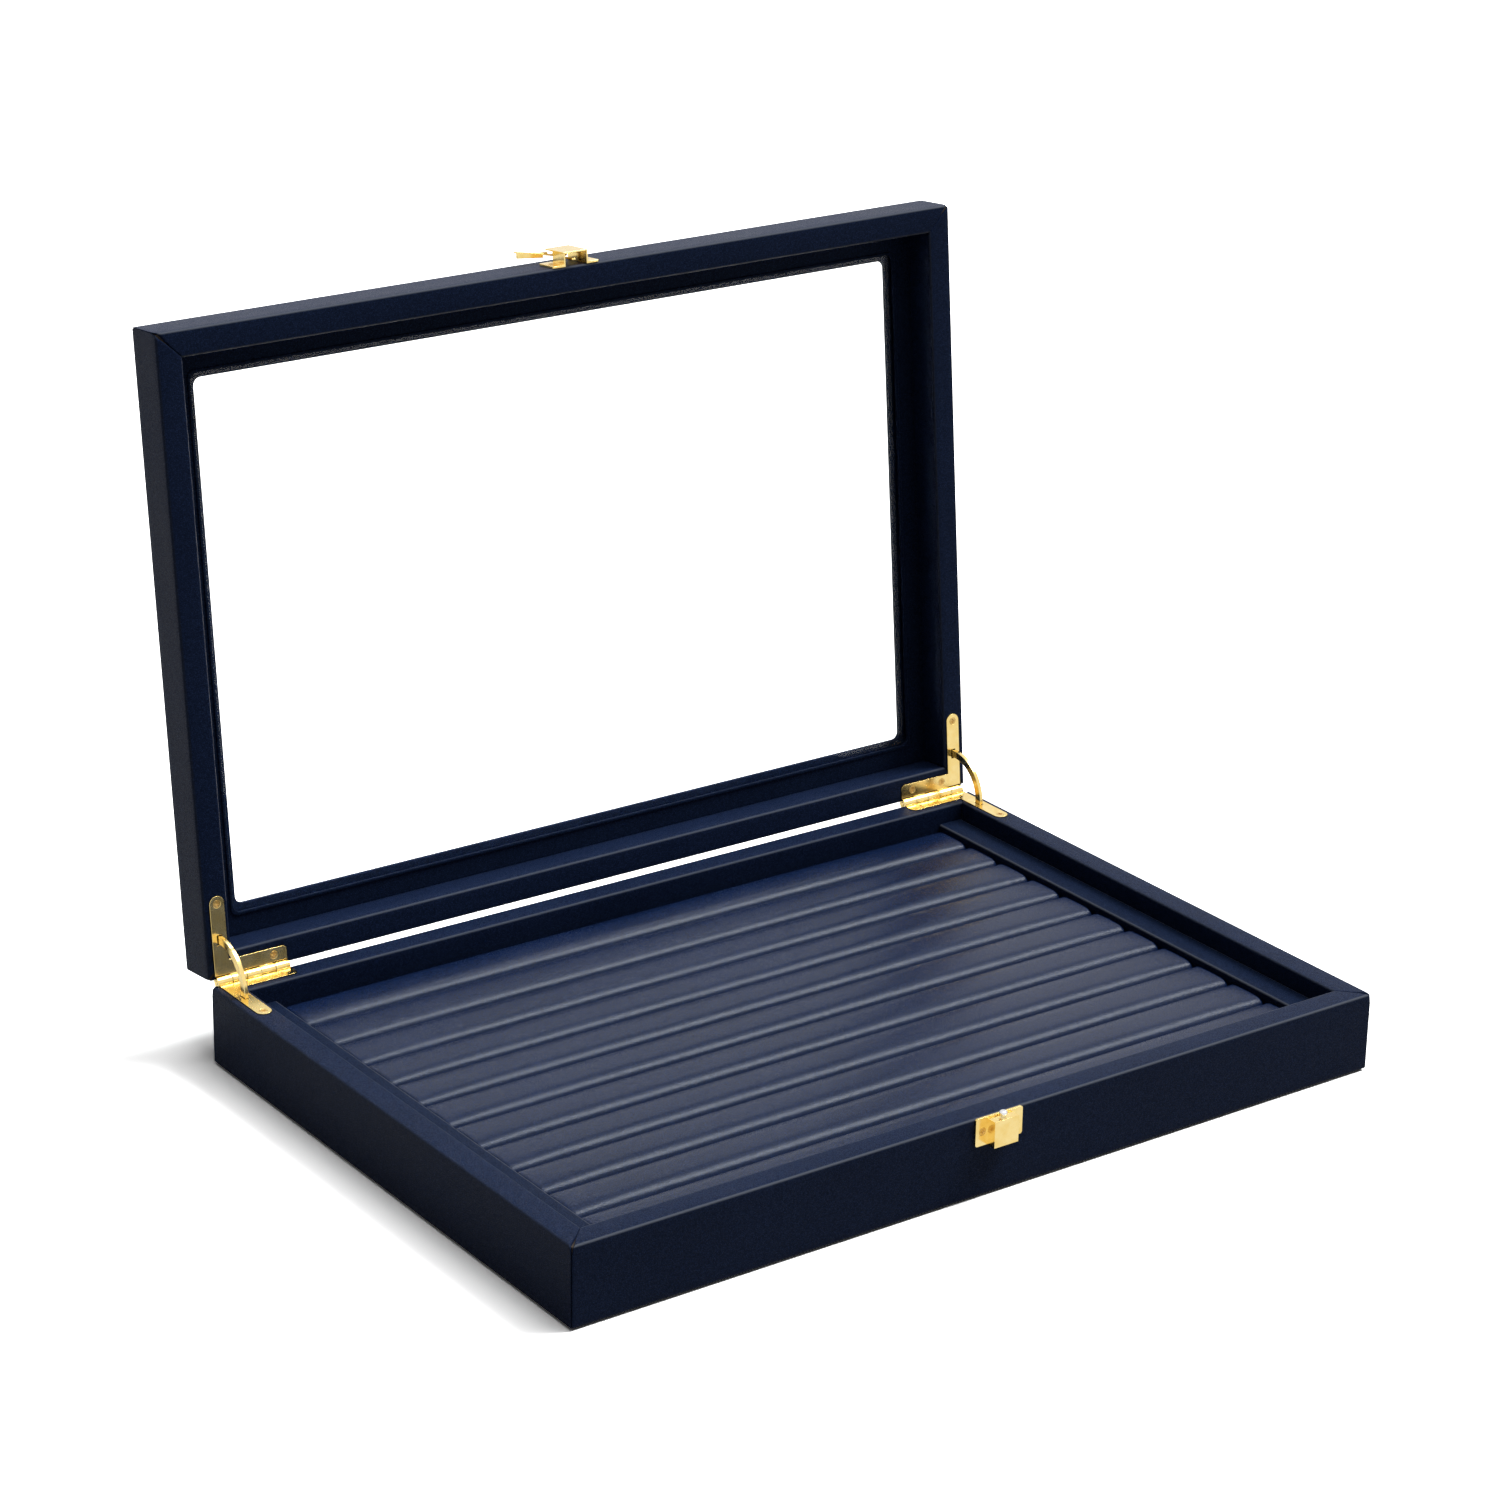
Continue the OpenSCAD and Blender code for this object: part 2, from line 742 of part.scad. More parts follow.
// Turns a part drawn flat on XY, with Z outwards, onto the front of the box
module on_front(z) {
    translate([0, -box_d / 2, z]) rotate([90, 0, 0]) children();
}

module clasp_plate_blank(h) {
    translate([-clasp_w / 2, 0, 0]) linear_extrude(clasp_t) soft_rect([clasp_w, h], clasp_r);
}

// Plate on the base with its raised box, open below
module clasp_base_plate() {
    box_h = base_plate_h - base_box_drop;
    color(gilt) on_front(base_h - base_plate_h) difference() {
        union() {
            clasp_plate_blank(base_plate_h);
            difference() {
                translate([-clasp_box_w / 2, 0, 0]) cube([clasp_box_w, box_h, base_box_d]);
                translate([-clasp_box_w / 2 + clasp_wall, -1, clasp_t])
                    cube([
                        clasp_box_w - 2 * clasp_wall,
                        box_h - clasp_wall + 1,
                        base_box_d - clasp_t - clasp_wall
                    ]);
            }
        }
        for (x = [-clasp_screw_x, clasp_screw_x])
            translate([x, base_plate_h / 2, clasp_t]) screw_hole();
        translate([0, box_h - clasp_wall - 1, stud_out]) rotate([-90, 0, 0])
            cylinder(h = clasp_wall + 2, d = stud_neck_d + 2 * screw_clear);
    }
}

module clasp_base_screws() {
    color(gilt) clasp_screws_at(base_screw_z) screw();
}

// Grooved stud that the hook slides under, riveted through the top of the raised box
module clasp_stud() {
    neck_r = stud_neck_d / 2;
    head_r = stud_head_d / 2;
    head_top = stud_neck_h + stud_head_h;
    tail_top = -clasp_wall - screw_clear;
    color(steel) translate([0, -box_d / 2 - stud_out, base_box_z]) rotate_extrude() polygon([
        [0, tail_top - stud_tail_h],
        [neck_r + stud_tail_lap, tail_top - stud_tail_h],
        [neck_r + stud_tail_lap, tail_top],
        [neck_r, tail_top],
        [neck_r, stud_neck_h],
        [head_r, stud_neck_h],
        [head_r, head_top - stud_chamfer],
        [head_r - stud_chamfer, head_top],
        [0, head_top]
    ]);
}

// Bracket on the lid: two flanges and a channel that is open towards the rim,
// with the wall beside the lever cut short
module clasp_lid_bracket() {
    half = clasp_box_w / 2;
    color(gilt) opened() on_front(lid_z) difference() {
        union() {
            clasp_plate_blank(lid_plate_h);
            translate([-half, 0, 0]) cube([clasp_wall, cover_wall_l, lid_box_d]);
            translate([half - clasp_wall, 0, 0]) cube([clasp_wall, cover_l, lid_box_d]);
            translate([-half, 0, lid_box_d - clasp_wall]) cube([clasp_box_w, cover_l, clasp_wall]);
        }
        translate([-half + clasp_wall, -1, -1])
            cube([clasp_box_w - 2 * clasp_wall, lid_plate_h + 2, clasp_t + 2]);
        for (x = [-clasp_screw_x, clasp_screw_x])
            translate([x, lid_plate_h / 2, clasp_t]) screw_hole();
    }
}

module clasp_lid_screws() {
    color(gilt) opened() clasp_screws_at(lid_screw_z) screw();
}

// Puts a part drawn about the lever's pivot, with Z outwards, on the lid
module at_pivot() {
    opened() on_front(lid_z) translate([0, pivot_h, 0]) children();
}

// Rivet between the lid's front and the cover, with a collar that carries the lever
module lever_rivet() {
    color(gilt) at_pivot() {
        cylinder(h = lid_box_d - clasp_wall, d = rivet_d);
        cylinder(h = lever_low - collar_gap, d = rivet_d + 2 * collar_lap);
    }
}

// Torsion spring over the lever: a close coil round the rivet and two legs
module lever_spring() {
    coil_r = rivet_d / 2 + spring_gap;
    side_wall = clasp_box_w / 2 - clasp_wall;
    color(steel) at_pivot() translate([0, 0, lever_high + spring_gap]) {
        difference() {
            cylinder(h = 2 * spring_wire, r = coil_r + spring_wire);
            translate([0, 0, -1]) cylinder(h = 2 * spring_wire + 2, r = coil_r);
        }
        translate([0, coil_r, 0]) cube([side_wall, spring_wire, spring_wire]);
        translate([-coil_r - spring_wire, -pivot_h / 2, 0])
            cube([spring_wire, pivot_h / 2, spring_wire]);
    }
}

// Height of the thumb end's outer face at a distance from the pivot
function thumb_high(x) = lever_high + (x + thumb_x) * tan(lever_slope);

// Side view of a strip of the thumb end between two distances from the pivot,
// given by its outer and inner face at each
module thumb_side(x, outer, inner) {
    polygon([[-x[0], outer[0]], [-x[1], outer[1]], [-x[1], inner[1]], [-x[0], inner[0]]]);
}

// Stretch of the thumb end, drawn as a side view and given a width
module thumb_strip(y, w) {
    translate([0, y + w, 0]) rotate([90, 0, 0]) linear_extrude(w) children();
}

// Lever: a hub on the rivet, a hook arm that reaches down to the stud, and a thumb end
// that slopes away from the lid, with a skirt along one edge and a lip along the other
module thumb_lever() {
    reach = lever_reach;
    color(gilt) at_pivot() difference() {
        union() {
            translate([0, 0, lever_low]) cylinder(h = lever_t, r = hub_r);
            translate([hook_x - hook_w, hook_low - pivot_h, lever_low])
                cube([hook_w, pivot_h - hook_low, lever_t]);
            translate([hook_x - hook_w, hook_low - pivot_h, lever_low])
                cube([hook_tip_x - hook_x + hook_w, hook_h, lever_t]);
            translate([thumb_x, thumb_up, lever_low]) cube([-thumb_x, lever_w, lever_t]);
            thumb_strip(thumb_up, lever_w) thumb_side(
                [-thumb_x, reach],
                [thumb_high(-thumb_x), thumb_high(reach)],
                [thumb_high(-thumb_x) - lever_t, thumb_high(reach) - lever_t]
            );
            thumb_strip(thumb_up, lever_t) thumb_side(
                [skirt_start, reach],
                [thumb_high(skirt_start), thumb_high(reach)],
                [thumb_high(skirt_start) - skirt_in_d, thumb_high(reach) - skirt_d]
            );
            thumb_strip(thumb_up + lever_w - lever_t, lever_t) thumb_side(
                [lip_start, lip_end],
                [thumb_high(lip_start) + lip_h, thumb_high(lip_end)],
                [thumb_high(lip_start) - lever_t, thumb_high(lip_end) - lever_t]
            );
        }
        cylinder(h = lid_box_d, d = rivet_d + 2 * rivet_clear);
    }
}

base_core("front");  // base_front_core
base_core("back");  // base_back_core
base_core("left");  // base_left_core
base_core("right");  // base_right_core
base_skin("front");  // base_front_skin
base_skin("back");  // base_back_skin
base_skin("left");  // base_left_skin
base_skin("right");  // base_right_skin
base_floor();
underside_felt();
tray_board();
tray_ledge(-1);  // tray_left_ledge
tray_ledge(1);  // tray_right_ledge
for (i = [1 : bar_count])
    padded_bar(i);
clasp_base_plate();
clasp_stud();
clasp_base_screws();
hinge_base_leaf("left");  // left_hinge_base_leaf
hinge_base_leaf("right");  // right_hinge_base_leaf
hinge_pin("left");  // left_hinge_pin
hinge_pin("right");  // right_hinge_pin
hinge_base_screws("left");  // left_hinge_base_screws
hinge_base_screws("right");  // right_hinge_base_screws
stay_arm("left");  // left_stay_arm
stay_arm("right");  // right_stay_arm
lid_core("front");  // lid_front_core
lid_core("back");  // lid_back_core
lid_core("left");  // lid_left_core
lid_core("right");  // lid_right_core
lid_skin("front");  // lid_front_skin
lid_skin("back");  // lid_back_skin
lid_skin("left");  // lid_left_skin
lid_skin("right");  // lid_right_skin
lid_top_panel();
glass_pane();
lid_liner();
hinge_lid_leaf("left");  // left_hinge_lid_leaf
hinge_lid_leaf("right");  // right_hinge_lid_leaf
hinge_lid_screws("left");  // left_hinge_lid_screws
hinge_lid_screws("right");  // right_hinge_lid_screws
clasp_lid_bracket();
clasp_lid_screws();
lever_rivet();
lever_spring();
thumb_lever();
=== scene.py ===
# %% [markdown]
# # A display box for small jewellery
#
# The real box is a shallow wooden case wrapped in navy leatherette. Eleven padded bars lie in
# the tray, the lid is a frame round a pane of glass, and two gilt hinges and a lever clasp
# join the halves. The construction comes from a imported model, one solid for each piece.
# This notebook gives every piece its visible surface: the folded leatherette, the padding,
# the rounded metal edges and the finishes.
#
# Lengths are in metres. X runs to the right, Y to the back where the hinges are, and Z up.

import json
import math

import bmesh
import bpy
import numpy as np
from mathutils import Matrix, Vector


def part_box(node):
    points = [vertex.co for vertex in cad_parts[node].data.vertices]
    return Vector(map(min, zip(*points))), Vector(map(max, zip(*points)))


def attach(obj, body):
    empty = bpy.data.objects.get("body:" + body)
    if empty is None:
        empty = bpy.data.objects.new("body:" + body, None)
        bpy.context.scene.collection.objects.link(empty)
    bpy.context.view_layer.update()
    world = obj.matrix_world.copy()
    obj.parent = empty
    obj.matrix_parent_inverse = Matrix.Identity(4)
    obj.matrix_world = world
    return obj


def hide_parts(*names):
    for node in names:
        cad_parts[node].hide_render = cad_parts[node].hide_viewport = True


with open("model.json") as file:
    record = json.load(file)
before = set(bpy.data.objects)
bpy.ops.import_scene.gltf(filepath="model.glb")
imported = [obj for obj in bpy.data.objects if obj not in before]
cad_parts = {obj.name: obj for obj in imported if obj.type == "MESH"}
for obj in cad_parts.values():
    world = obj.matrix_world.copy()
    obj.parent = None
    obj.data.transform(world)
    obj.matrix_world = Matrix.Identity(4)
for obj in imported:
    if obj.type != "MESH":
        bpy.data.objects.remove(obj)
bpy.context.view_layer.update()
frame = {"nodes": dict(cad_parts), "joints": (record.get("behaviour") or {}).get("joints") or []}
mm = 0.001
print("pieces in the packed model:", len(frame["nodes"]))

# %% [markdown]
# ## The camera
#
# The camera is made first, so that every later choice can be judged through it. Its place,
# its lens and its slight roll were worked out from the straight edges of the box in the
# photograph, whose lengths are known once the box is taken to be 350 mm wide.

# %% Camera
CAMERA_TARGET = Vector((-0.05127, -0.04188, 0.14995))
CAMERA_AZIMUTH = math.radians(-35.755)
CAMERA_ELEVATION = math.radians(21.357)
CAMERA_ROLL = math.radians(0.90)
CAMERA_DISTANCE = 1.4065
FOCAL_LENGTH_MM = 99.11
SENSOR_MM = 36.0


def make_camera():
    """Places the camera on a sphere round its target and turns it by its roll."""
    flat = math.cos(CAMERA_ELEVATION)
    back = Vector((
        math.sin(CAMERA_AZIMUTH) * flat,
        -math.cos(CAMERA_AZIMUTH) * flat,
        math.sin(CAMERA_ELEVATION),
    ))
    right = Vector((math.cos(CAMERA_AZIMUTH), math.sin(CAMERA_AZIMUTH), 0.0))
    up = back.cross(right)
    turned_right = math.cos(CAMERA_ROLL) * right + math.sin(CAMERA_ROLL) * up
    turned_up = math.cos(CAMERA_ROLL) * up - math.sin(CAMERA_ROLL) * right
    data = bpy.data.cameras.new("camera")
    data.sensor_width = SENSOR_MM
    data.lens = FOCAL_LENGTH_MM
    data.clip_start = 0.05
    data.clip_end = 60.0
    camera = bpy.data.objects.new("camera", data)
    bpy.context.scene.collection.objects.link(camera)
    turn = Matrix((turned_right, turned_up, back)).transposed().to_4x4()
    camera.matrix_world = Matrix.Translation(CAMERA_TARGET + CAMERA_DISTANCE * back) @ turn
    bpy.context.scene.camera = camera
    return camera


camera = make_camera()
print("camera at", [round(c, 4) for c in camera.location])

# %% [markdown]
# ## The driving sizes
#
# The outside of the box, its rims, its walls and the hinge axis are read from the packed
# model. A few small sizes that a node's box doesn't give, such as the width of a hinge's arm
# or the height of the lever's pivot, are written again further down. The lid is packed open,
# so its points are first swung shut: a folded sheet is much easier to describe on a closed lid.

# %% Read the sizes
hinge = next(j for j in frame["joints"] if j["name"] == "lid_hinge")
AXIS_Y, AXIS_Z = hinge["pos_m"][1], hinge["pos_m"][2]
LID_ANGLE = math.radians(hinge["range_deg"][1])


def swing(points, angle):
    """Turns points about the hinge axis. A positive angle opens a closed lid: the height above
    the axis turns into distance behind it, and the distance in front of it into height."""
    points = np.asarray(points, float)
    y, z = points[..., 1] - AXIS_Y, points[..., 2] - AXIS_Z
    turned_y = AXIS_Y + y * math.cos(angle) + z * math.sin(angle)
    turned_z = AXIS_Z - y * math.sin(angle) + z * math.cos(angle)
    return np.stack([points[..., 0], turned_y, turned_z], -1)


def points_of(mesh):
    """The points of a mesh as an (n, 3) array."""
    points = np.zeros(len(mesh.vertices) * 3)
    mesh.vertices.foreach_get("co", points)
    return points.reshape(-1, 3)


def closed_span(name):
    """Lowest and highest corner of a lid node with the lid shut."""
    points = swing(points_of(frame["nodes"][name].data), -LID_ANGLE)
    return points.min(0), points.max(0)


BOX_W = -2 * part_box("base_left_skin")[0].x
BOX_D = -2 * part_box("base_front_skin")[0].y
RIM_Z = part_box("base_front_skin")[1].z
WALL_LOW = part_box("base_front_skin")[0].z
WALL_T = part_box("base_left_skin")[1].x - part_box("base_left_skin")[0].x
FLOOR_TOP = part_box("base_floor")[1].z
FLOOR_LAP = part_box("base_floor")[1].x - (BOX_W / 2 - WALL_T)
LID_LOW, LID_TOP = closed_span("lid_left_skin")[0][2], closed_span("lid_left_skin")[1][2]
PANEL_LOW = closed_span("lid_top_panel")[0][2]
PANEL_LAP = closed_span("lid_top_panel")[1][0] - (BOX_W / 2 - WALL_T)
print("box %.0f x %.0f mm, rim %.1f mm, closed %.1f mm" % (
    BOX_W / mm, BOX_D / mm, RIM_Z / mm, LID_TOP / mm))

# %% [markdown]
# ## Tools for surfaces
#
# Every new surface is a grid of points: one direction runs along the piece and the other
# round it. The points are worked out as whole numpy arrays, and one helper turns such a grid
# into quads. A sheet of leatherette is never quite flat, so a ripple made of a few long waves
# is taken off its surface.


# %% Grid and ripple helpers
def grid_quads(rows, columns):
    """Corner numbers of the quads of a tube whose point (r, c) has number r * columns + c."""
    r = np.arange(rows - 1)[:, None]
    c = np.arange(columns)[None, :]
    d = (c + 1) % columns
    quads = [r * columns + c, r * columns + d, (r + 1) * columns + d, (r + 1) * columns + c]
    return np.stack(quads, -1).reshape(-1, 4)


def capped_tube(rows, columns):
    """The quads of a tube and one face at each end of it."""
    last = (rows - 1) * columns
    return list(grid_quads(rows, columns)) + [range(columns)[::-1], range(last, last + columns)]


def face_outwards(mesh):
    """Turns the faces of a closed mesh outwards."""
    work = bmesh.new()
    work.from_mesh(mesh)
    bmesh.ops.recalc_face_normals(work, faces=work.faces)
    work.to_mesh(mesh)
    work.free()


def make_piece(name, points, faces, sharp=40.0, wear_and_highlight=None):
    """A mesh object from points and faces, with its faces turned outwards. The optional array,
    one number for each point, says how much paler the leatherette is drawn there, partly for
    wear and partly as painted highlight, and is kept as an attribute for the leatherette to read."""
    mesh = bpy.data.meshes.new(name)
    mesh.from_pydata(np.reshape(points, (-1, 3)).tolist(), [], [tuple(map(int, f)) for f in faces])
    # The paler folds, partly wear and partly painted highlight, are kept as a point attribute.
    if wear_and_highlight is not None:
        attribute = mesh.attributes.new("wear_and_highlight", "FLOAT", "POINT")
        attribute.data.foreach_set("value", np.ravel(wear_and_highlight).astype(np.float32))
    face_outwards(mesh)
    mesh.shade_smooth()
    mesh.set_sharp_from_angle(angle=math.radians(sharp))
    piece = bpy.data.objects.new(name, mesh)
    bpy.context.scene.collection.objects.link(piece)
    return piece


def ripple(u, v, seed, longest=70 * mm, shortest=14 * mm, waves=9):
    """Sum of sine waves over (u, v) with seeded directions, lengths and phases, from 0 to 1.
    Each wave's height is in proportion to its length, so the surface stays smooth."""
    draw = np.random.default_rng(seed)
    total = np.zeros(np.broadcast(u, v).shape)
    weight = 0.0
    for _ in range(waves):
        length = math.exp(draw.uniform(math.log(shortest), math.log(longest)))
        way, phase = draw.uniform(0, math.pi), draw.uniform(0, 2 * math.pi)
        across = (u * math.cos(way) + v * math.sin(way)) * 2 * math.pi / length
        total = total + length * np.sin(across + phase)
        weight += length
    return 0.5 + 0.5 * total / weight


def show(piece, body, slot, material, *replaced):
    """Lets a piece ride on its body, gives it its finish and hides the nodes that it stands
    for. Its slot argument is not used."""
    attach(piece, body)
    piece.data.materials.clear()
    piece.data.materials.append(material)
    if replaced:
        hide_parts(*replaced)
    return piece


def bake_modifiers(piece):
    """Replaces a piece's mesh by the one that its modifiers make, and removes them."""
    bpy.context.view_layer.update()
    graph = bpy.context.evaluated_depsgraph_get()
    piece.data = bpy.data.meshes.new_from_object(piece.evaluated_get(graph))
    piece.modifiers.clear()
    return piece


# %% [markdown]
# ## Node materials
#
# All the finishes are procedural. One helper adds a node, sets its sockets and links what is
# given as a socket, which keeps each material down to the few lines that describe it. The
# patterns read Object coordinates: every piece sits at the origin with its place in its mesh,
# so those are the box's own metres and a grain has the same real size on every piece.


# %% Material helpers
def add_node(tree, kind, sockets=None, **settings):
    """A new node with its settings, its socket values and its links."""
    node = tree.nodes.new(kind)
    for name, value in settings.items():
        setattr(node, name, value)
    for name, value in (sockets or {}).items():
        if isinstance(value, bpy.types.NodeSocket):
            tree.links.new(value, node.inputs[name])
        else:
            node.inputs[name].default_value = value
    return node


def new_material(name):
    """An empty node material, its principled shader, and the place that its patterns read."""
    material = bpy.data.materials.new(name)
    material.use_nodes = True
    tree = material.node_tree
    tree.nodes.clear()
    shader = add_node(tree, "ShaderNodeBsdfPrincipled")
    add_node(tree, "ShaderNodeOutputMaterial", {"Surface": shader.outputs[0]})
    place = add_node(tree, "ShaderNodeTexCoord").outputs["Object"]
    return material, tree, shader, place


def ramp(tree, value, stops):
    """A colour ramp over value, from a list of (position, colour) stops."""
    node = add_node(tree, "ShaderNodeValToRGB", {"Fac": value})
    first, last = node.color_ramp.elements
    first.position, first.color = stops[0][0], (*stops[0][1], 1)
    last.position, last.color = stops[-1][0], (*stops[-1][1], 1)
    return node.outputs["Color"]


def span(tree, value, low, high):
    """Maps value from 0 to 1 onto low to high."""
    node = add_node(tree, "ShaderNodeMapRange", {"Value": value, "To Min": low, "To Max": high})
    return node.outputs["Result"]


def noise(tree, place, scale, detail, distortion=0.0):
    """A cloudy pattern from 0 to 1, as a node."""
    sockets = {"Vector": place, "Scale": scale, "Detail": detail, "Distortion": distortion}
    return add_node(tree, "ShaderNodeTexNoise", sockets)


def maths(tree, operation, *values):
    """The outcome of an operation on numbers or sockets."""
    return add_node(tree, "ShaderNodeMath", dict(enumerate(values)), operation=operation).outputs[0]


def bump(tree, height, distance, strength=1.0, before=None):
    """A bump whose full height is distance, laid over an earlier one."""
    sockets = {"Height": height, "Distance": distance, "Strength": strength}
    if before is not None:
        sockets["Normal"] = before
    return add_node(tree, "ShaderNodeBump", sockets).outputs["Normal"]


# %% [markdown]
# ### Leatherette
#
# Leatherette is a printed skin on cloth. Its grain is a mosaic of low pebbles about 0.6 mm
# across, parted by fine creases, so a Voronoi pattern's distance to its edges is
# the right height. The crease is a little darker and duller than the top of a pebble, where
# hands have polished the skin. A folded edge is drawn paler, partly because it is stretched
# and rubbed and partly as a painted highlight, set for each side by how the light falls on
# it: the sheets carry that as a point attribute.

# %% Leatherette
GRAIN = 0.62 * mm
# The paler navy that the folds are mixed towards: partly wear, partly painted highlight.
WEAR_AND_HIGHLIGHT_COLOUR = (0.12, 0.135, 0.17)
PEBBLE_EDGE = 0.32
CREASE_TONE = (0.5, 1.0)
PEBBLE_TONE = (0.82, 1.22)


def leatherette(name, deep, top, rough, gloss, relief, tint=(0.7, 0.82, 1.0)):
    """Pebbled skin: a slow tone change, pebbles of unequal tone with dark creases, and folds
    drawn paler, partly for wear and partly as painted highlight."""
    material, tree, shader, place = new_material(name)
    bend = noise(tree, place, 0.35 / GRAIN, 2.0)
    offset = add_node(tree, "ShaderNodeVectorMath",
                      {0: bend.outputs["Color"], 1: (0.6 * GRAIN,) * 3}, operation="MULTIPLY")
    moved = add_node(tree, "ShaderNodeVectorMath", {0: place, 1: offset.outputs[0]},
                     operation="ADD").outputs[0]
    mosaic = {"Vector": moved, "Scale": 1 / GRAIN}
    pebbles = add_node(tree, "ShaderNodeTexVoronoi", mosaic, feature="DISTANCE_TO_EDGE")
    domed = add_node(tree, "ShaderNodeMapRange",
                     {"Value": pebbles.outputs["Distance"], "From Max": PEBBLE_EDGE},
                     interpolation_type="SMOOTHSTEP").outputs["Result"]
    cells = add_node(tree, "ShaderNodeTexVoronoi", mosaic)
    unequal = add_node(tree, "ShaderNodeSeparateColor", {"Color": cells.outputs["Color"]})
    slow = noise(tree, place, 24.0, 4.0).outputs["Fac"]
    fine = noise(tree, place, 2.2 / GRAIN, 3.0).outputs["Fac"]
    tone = ramp(tree, slow, [(0.3, deep), (0.7, top)])
    pebble_tone = maths(tree, "MULTIPLY", span(tree, domed, *CREASE_TONE),
                        span(tree, unequal.outputs[0], *PEBBLE_TONE))
    creased = add_node(tree, "ShaderNodeMix", {0: 1.0, 6: tone, 7: pebble_tone},
                       data_type="RGBA", blend_type="MULTIPLY").outputs[2]
    wear_and_highlight = add_node(tree, "ShaderNodeAttribute", attribute_name="wear_and_highlight").outputs["Fac"]
    # Folds are mixed towards a paler navy: partly wear, partly painted highlight.
    colour = add_node(tree, "ShaderNodeMix", {0: wear_and_highlight, 6: creased, 7: (*WEAR_AND_HIGHLIGHT_COLOUR, 1)},
                      data_type="RGBA").outputs[2]
    polish = maths(tree, "MULTIPLY_ADD", slow, 0.14, rough - 0.07)
    dull = maths(tree, "MULTIPLY_ADD", domed, -0.12, polish)
    shaped = bump(tree, domed, relief, 1.0)
    shaped = bump(tree, fine, 0.5 * relief, 1.0, shaped)
    tree.links.new(colour, shader.inputs["Base Color"])
    tree.links.new(dull, shader.inputs["Roughness"])
    tree.links.new(shaped, shader.inputs["Normal"])
    shader.inputs["Specular IOR Level"].default_value = gloss
    shader.inputs["Specular Tint"].default_value = (*tint, 1)
    return material


navy_wrap = leatherette("navy_wrap", (0.014, 0.027, 0.075), (0.018, 0.033, 0.088), 0.42, 0.04,
                       0.045 * mm)
# The ledges and the lid's liner take a darker copy of the walls' leatherette: its darker colour is
# painted shade, as they lie low in the tray and deep in the lid.
navy_ledge_painted_shade = leatherette("navy_ledge_painted_shade", (0.012, 0.023, 0.062), (0.015, 0.028, 0.072), 0.44, 0.035,
                        0.045 * mm)
navy_padding = leatherette("navy_padding", (0.009, 0.023, 0.080), (0.012, 0.028, 0.094), 0.27, 0.19,
                           0.025 * mm, (0.86, 0.93, 1.0))
print("leatherettes:", navy_wrap.name, navy_ledge_painted_shade.name, navy_padding.name)

# %% [markdown]
# ### Metal, board, felt and glass
#
# The fittings are pressed brass with a thin bright gilding. What makes gilding look real is
# how little it varies: a faint cloudiness in its polish, and a fine grain from the rollers.
# The board is dark fibreboard and the felt is a mat of short fibres. The glass is clear, lets
# the lamps through, and reflects less than plain glass, as if it had an anti-reflection coat:
# with plain glass's index, 1.45, it drew a grey band round the window, which the photograph
# doesn't show. The lower index was chosen.


# %% Metals
def metal(name, colour, shade, rough):
    """Polished plate: a slightly clouded colour and polish, and a shallow rolled grain."""
    material, tree, shader, place = new_material(name)
    cloud = noise(tree, place, 260.0, 3.0).outputs["Fac"]
    rolled = add_node(tree, "ShaderNodeMapping",
                      {"Vector": place, "Scale": (700.0, 5200.0, 5200.0)})
    streaks = noise(tree, rolled.outputs[0], 1.0, 2.0).outputs["Fac"]
    colours = ramp(tree, cloud, [(0.35, shade), (0.65, colour)])
    tree.links.new(colours, shader.inputs["Base Color"])
    tree.links.new(span(tree, cloud, rough * 0.7, rough * 1.3), shader.inputs["Roughness"])
    tree.links.new(bump(tree, streaks, 0.004 * mm, 0.35), shader.inputs["Normal"])
    shader.inputs["Metallic"].default_value = 1.0
    return material


gilding = metal("gilding", (0.97, 0.76, 0.33), (0.92, 0.67, 0.23), 0.17)
screw_brass = metal("screw_brass", (0.80, 0.55, 0.20), (0.62, 0.40, 0.12), 0.3)
bright_steel = metal("bright_steel", (0.86, 0.86, 0.88), (0.74, 0.74, 0.77), 0.14)
print("metals:", gilding.name, screw_brass.name, bright_steel.name)


# %% Board, felt and glass
def fibreboard():
    """Dark board: fibres in two browns, stretched along the sheet, in a matt surface."""
    material, tree, shader, place = new_material("dark_board")
    drawn = add_node(tree, "ShaderNodeMapping", {"Vector": place, "Scale": (240.0, 600.0, 1400.0)})
    fibres = noise(tree, drawn.outputs[0], 1.0, 6.0).outputs["Fac"]
    browns = ramp(tree, fibres, [(0.3, (0.018, 0.012, 0.008)), (0.7, (0.06, 0.042, 0.028))])
    tree.links.new(browns, shader.inputs["Base Color"])
    tree.links.new(bump(tree, fibres, 0.05 * mm, 0.6), shader.inputs["Normal"])
    shader.inputs["Roughness"].default_value = 0.85
    return material


def felt():
    """Black felt: a tangle of short fibres, matt, with a soft sheen."""
    material, tree, shader, place = new_material("felt")
    tufts = noise(tree, place, 900.0, 8.0, 1.5).outputs["Fac"]
    blacks = ramp(tree, tufts, [(0.35, (0.006, 0.006, 0.008)), (0.7, (0.03, 0.03, 0.035))])
    tree.links.new(blacks, shader.inputs["Base Color"])
    tree.links.new(bump(tree, tufts, 0.25 * mm, 0.8), shader.inputs["Normal"])
    shader.inputs["Roughness"].default_value = 0.95
    shader.inputs["Sheen Weight"].default_value = 0.3
    return material


GLASS_INDEX = 1.2


